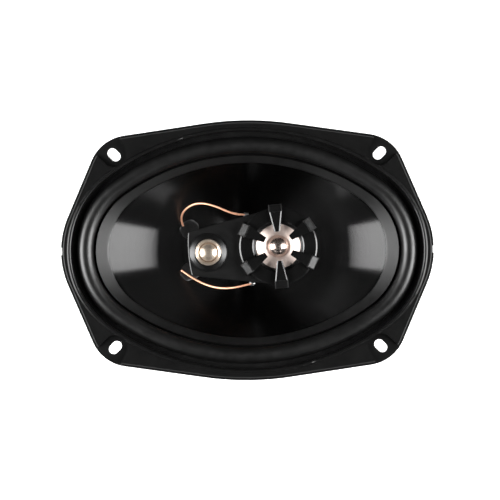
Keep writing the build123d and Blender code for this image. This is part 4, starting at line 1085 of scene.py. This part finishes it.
# ---------------------------------------------------------------- stage, light and camera
# Lengths are in metres and angles in degrees.
FLOOR_Z = CAD_BOX[0][2]
FLOOR_HALF = 4.0
PAPER_WHITE = 0.86
PAPER_ROUGHNESS = 0.8
PAPER_GLOW = 0.55
SKY = ((0.0, 0.40), (0.16, 0.03), (1.0, 0.004))  # brightness by height above the horizon
CAMERA_PLACE = (0.00165, 0.00013)
CAMERA_ROLL = -0.4
CAMERA_HEIGHT = 1.2
CAMERA_NEAR = 0.01
PICTURE_WIDTH = 0.3168       # what the camera sees across, at the mounting plane
SENSOR = 36.0                # millimetres
SOFTBOX_WIDTH = 0.76
SOFTBOX_HEIGHT = 1.10
SOFTBOX_DISTANCE = 1.10
SOFTBOX_MIDDLE = 0.60
SOFTBOX_SHIFT = -0.07
SOFTBOX_RADIANCE = 16.0
SPOT_AZIMUTH = 27.0          # small lights this far either side of -Y
SPOT_ZENITH = 57.0           # and this far down from straight overhead
SPOT_DISTANCE = 1.3
SPOT_SIZE = 0.17
SPOT_RADIANCE = 3.0


def make_floor():
    """White paper sweep under the speaker."""
    mesh = bpy.data.meshes.new("floor")
    half = FLOOR_HALF
    corners = [(-half, -half), (half, -half), (half, half), (-half, half)]
    mesh.from_pydata([(x, y, FLOOR_Z) for x, y in corners], [], [(0, 1, 2, 3)])
    floor = bpy.data.objects.new("floor", mesh)
    bpy.context.scene.collection.objects.link(floor)
    paper = bpy.data.materials.new("white_paper")
    paper.use_nodes = True
    shader = paper.node_tree.nodes["Principled BSDF"]
    shader.inputs["Base Color"].default_value = (*grey(PAPER_WHITE), 1.0)
    shader.inputs["Roughness"].default_value = PAPER_ROUGHNESS
    shader.inputs["Emission Color"].default_value = (1.0, 1.0, 1.0, 1.0)
    shader.inputs["Emission Strength"].default_value = PAPER_GLOW
    mesh.materials.append(paper)


def make_softbox(name, place, width, height, radiance):
    """Soft light that faces the speaker."""
    light = bpy.data.lights.new(name, "AREA")
    light.shape = "RECTANGLE"
    light.size = width
    light.size_y = height
    light.energy = radiance * math.pi * width * height
    lamp = bpy.data.objects.new(name, light)
    lamp.location = place
    lamp.rotation_euler = (-Vector(place)).to_track_quat("-Z", "Y").to_euler()
    lamp.visible_camera = False
    bpy.context.scene.collection.objects.link(lamp)


def make_world():
    """Dim overhead and brighter towards the horizon."""
    world = bpy.data.worlds.new("studio")
    bpy.context.scene.world = world
    world.use_nodes = True
    tree = world.node_tree
    place = tree.nodes.new("ShaderNodeTexCoord")
    parts = tree.nodes.new("ShaderNodeSeparateXYZ")
    ramp = tree.nodes.new("ShaderNodeValToRGB")
    stops = ramp.color_ramp.elements
    stops.new(SKY[1][0])
    for stop, (height, brightness) in zip(stops, SKY):
        stop.position = height
        stop.color = (*grey(brightness), 1.0)
    tree.links.new(place.outputs["Generated"], parts.inputs[0])
    tree.links.new(parts.outputs[2], ramp.inputs["Fac"])
    tree.links.new(ramp.outputs["Color"], tree.nodes["Background"].inputs["Color"])


def make_camera():
    """Camera straight above the front of the speaker."""
    camera = bpy.data.cameras.new("camera")
    camera.sensor_width = SENSOR
    camera.lens = SENSOR * CAMERA_HEIGHT / PICTURE_WIDTH
    camera.dof.use_dof = False
    camera.clip_start = CAMERA_NEAR
    holder = bpy.data.objects.new("camera", camera)
    holder.location = (*CAMERA_PLACE, CAMERA_HEIGHT)
    holder.rotation_euler = (0.0, 0.0, math.radians(CAMERA_ROLL))
    bpy.context.scene.collection.objects.link(holder)
    bpy.context.scene.camera = holder


make_floor()
for side, side_name in ((-1, "left"), (1, "right")):
    make_softbox(
        "softbox_" + side_name,
        (side * SOFTBOX_DISTANCE, SOFTBOX_SHIFT, SOFTBOX_MIDDLE),
        SOFTBOX_WIDTH,
        SOFTBOX_HEIGHT,
        SOFTBOX_RADIANCE,
    )
    turn = math.radians(side * SPOT_AZIMUTH)
    across = SPOT_DISTANCE * math.sin(math.radians(SPOT_ZENITH))
    make_softbox(
        "front_light_" + side_name,
        (
            across * math.sin(turn),
            -across * math.cos(turn),
            SPOT_DISTANCE * math.cos(math.radians(SPOT_ZENITH)),
        ),
        SPOT_SIZE,
        SPOT_SIZE,
        SPOT_RADIANCE,
    )
make_world()
make_camera()
bpy.context.scene.view_settings.view_transform = "Standard"
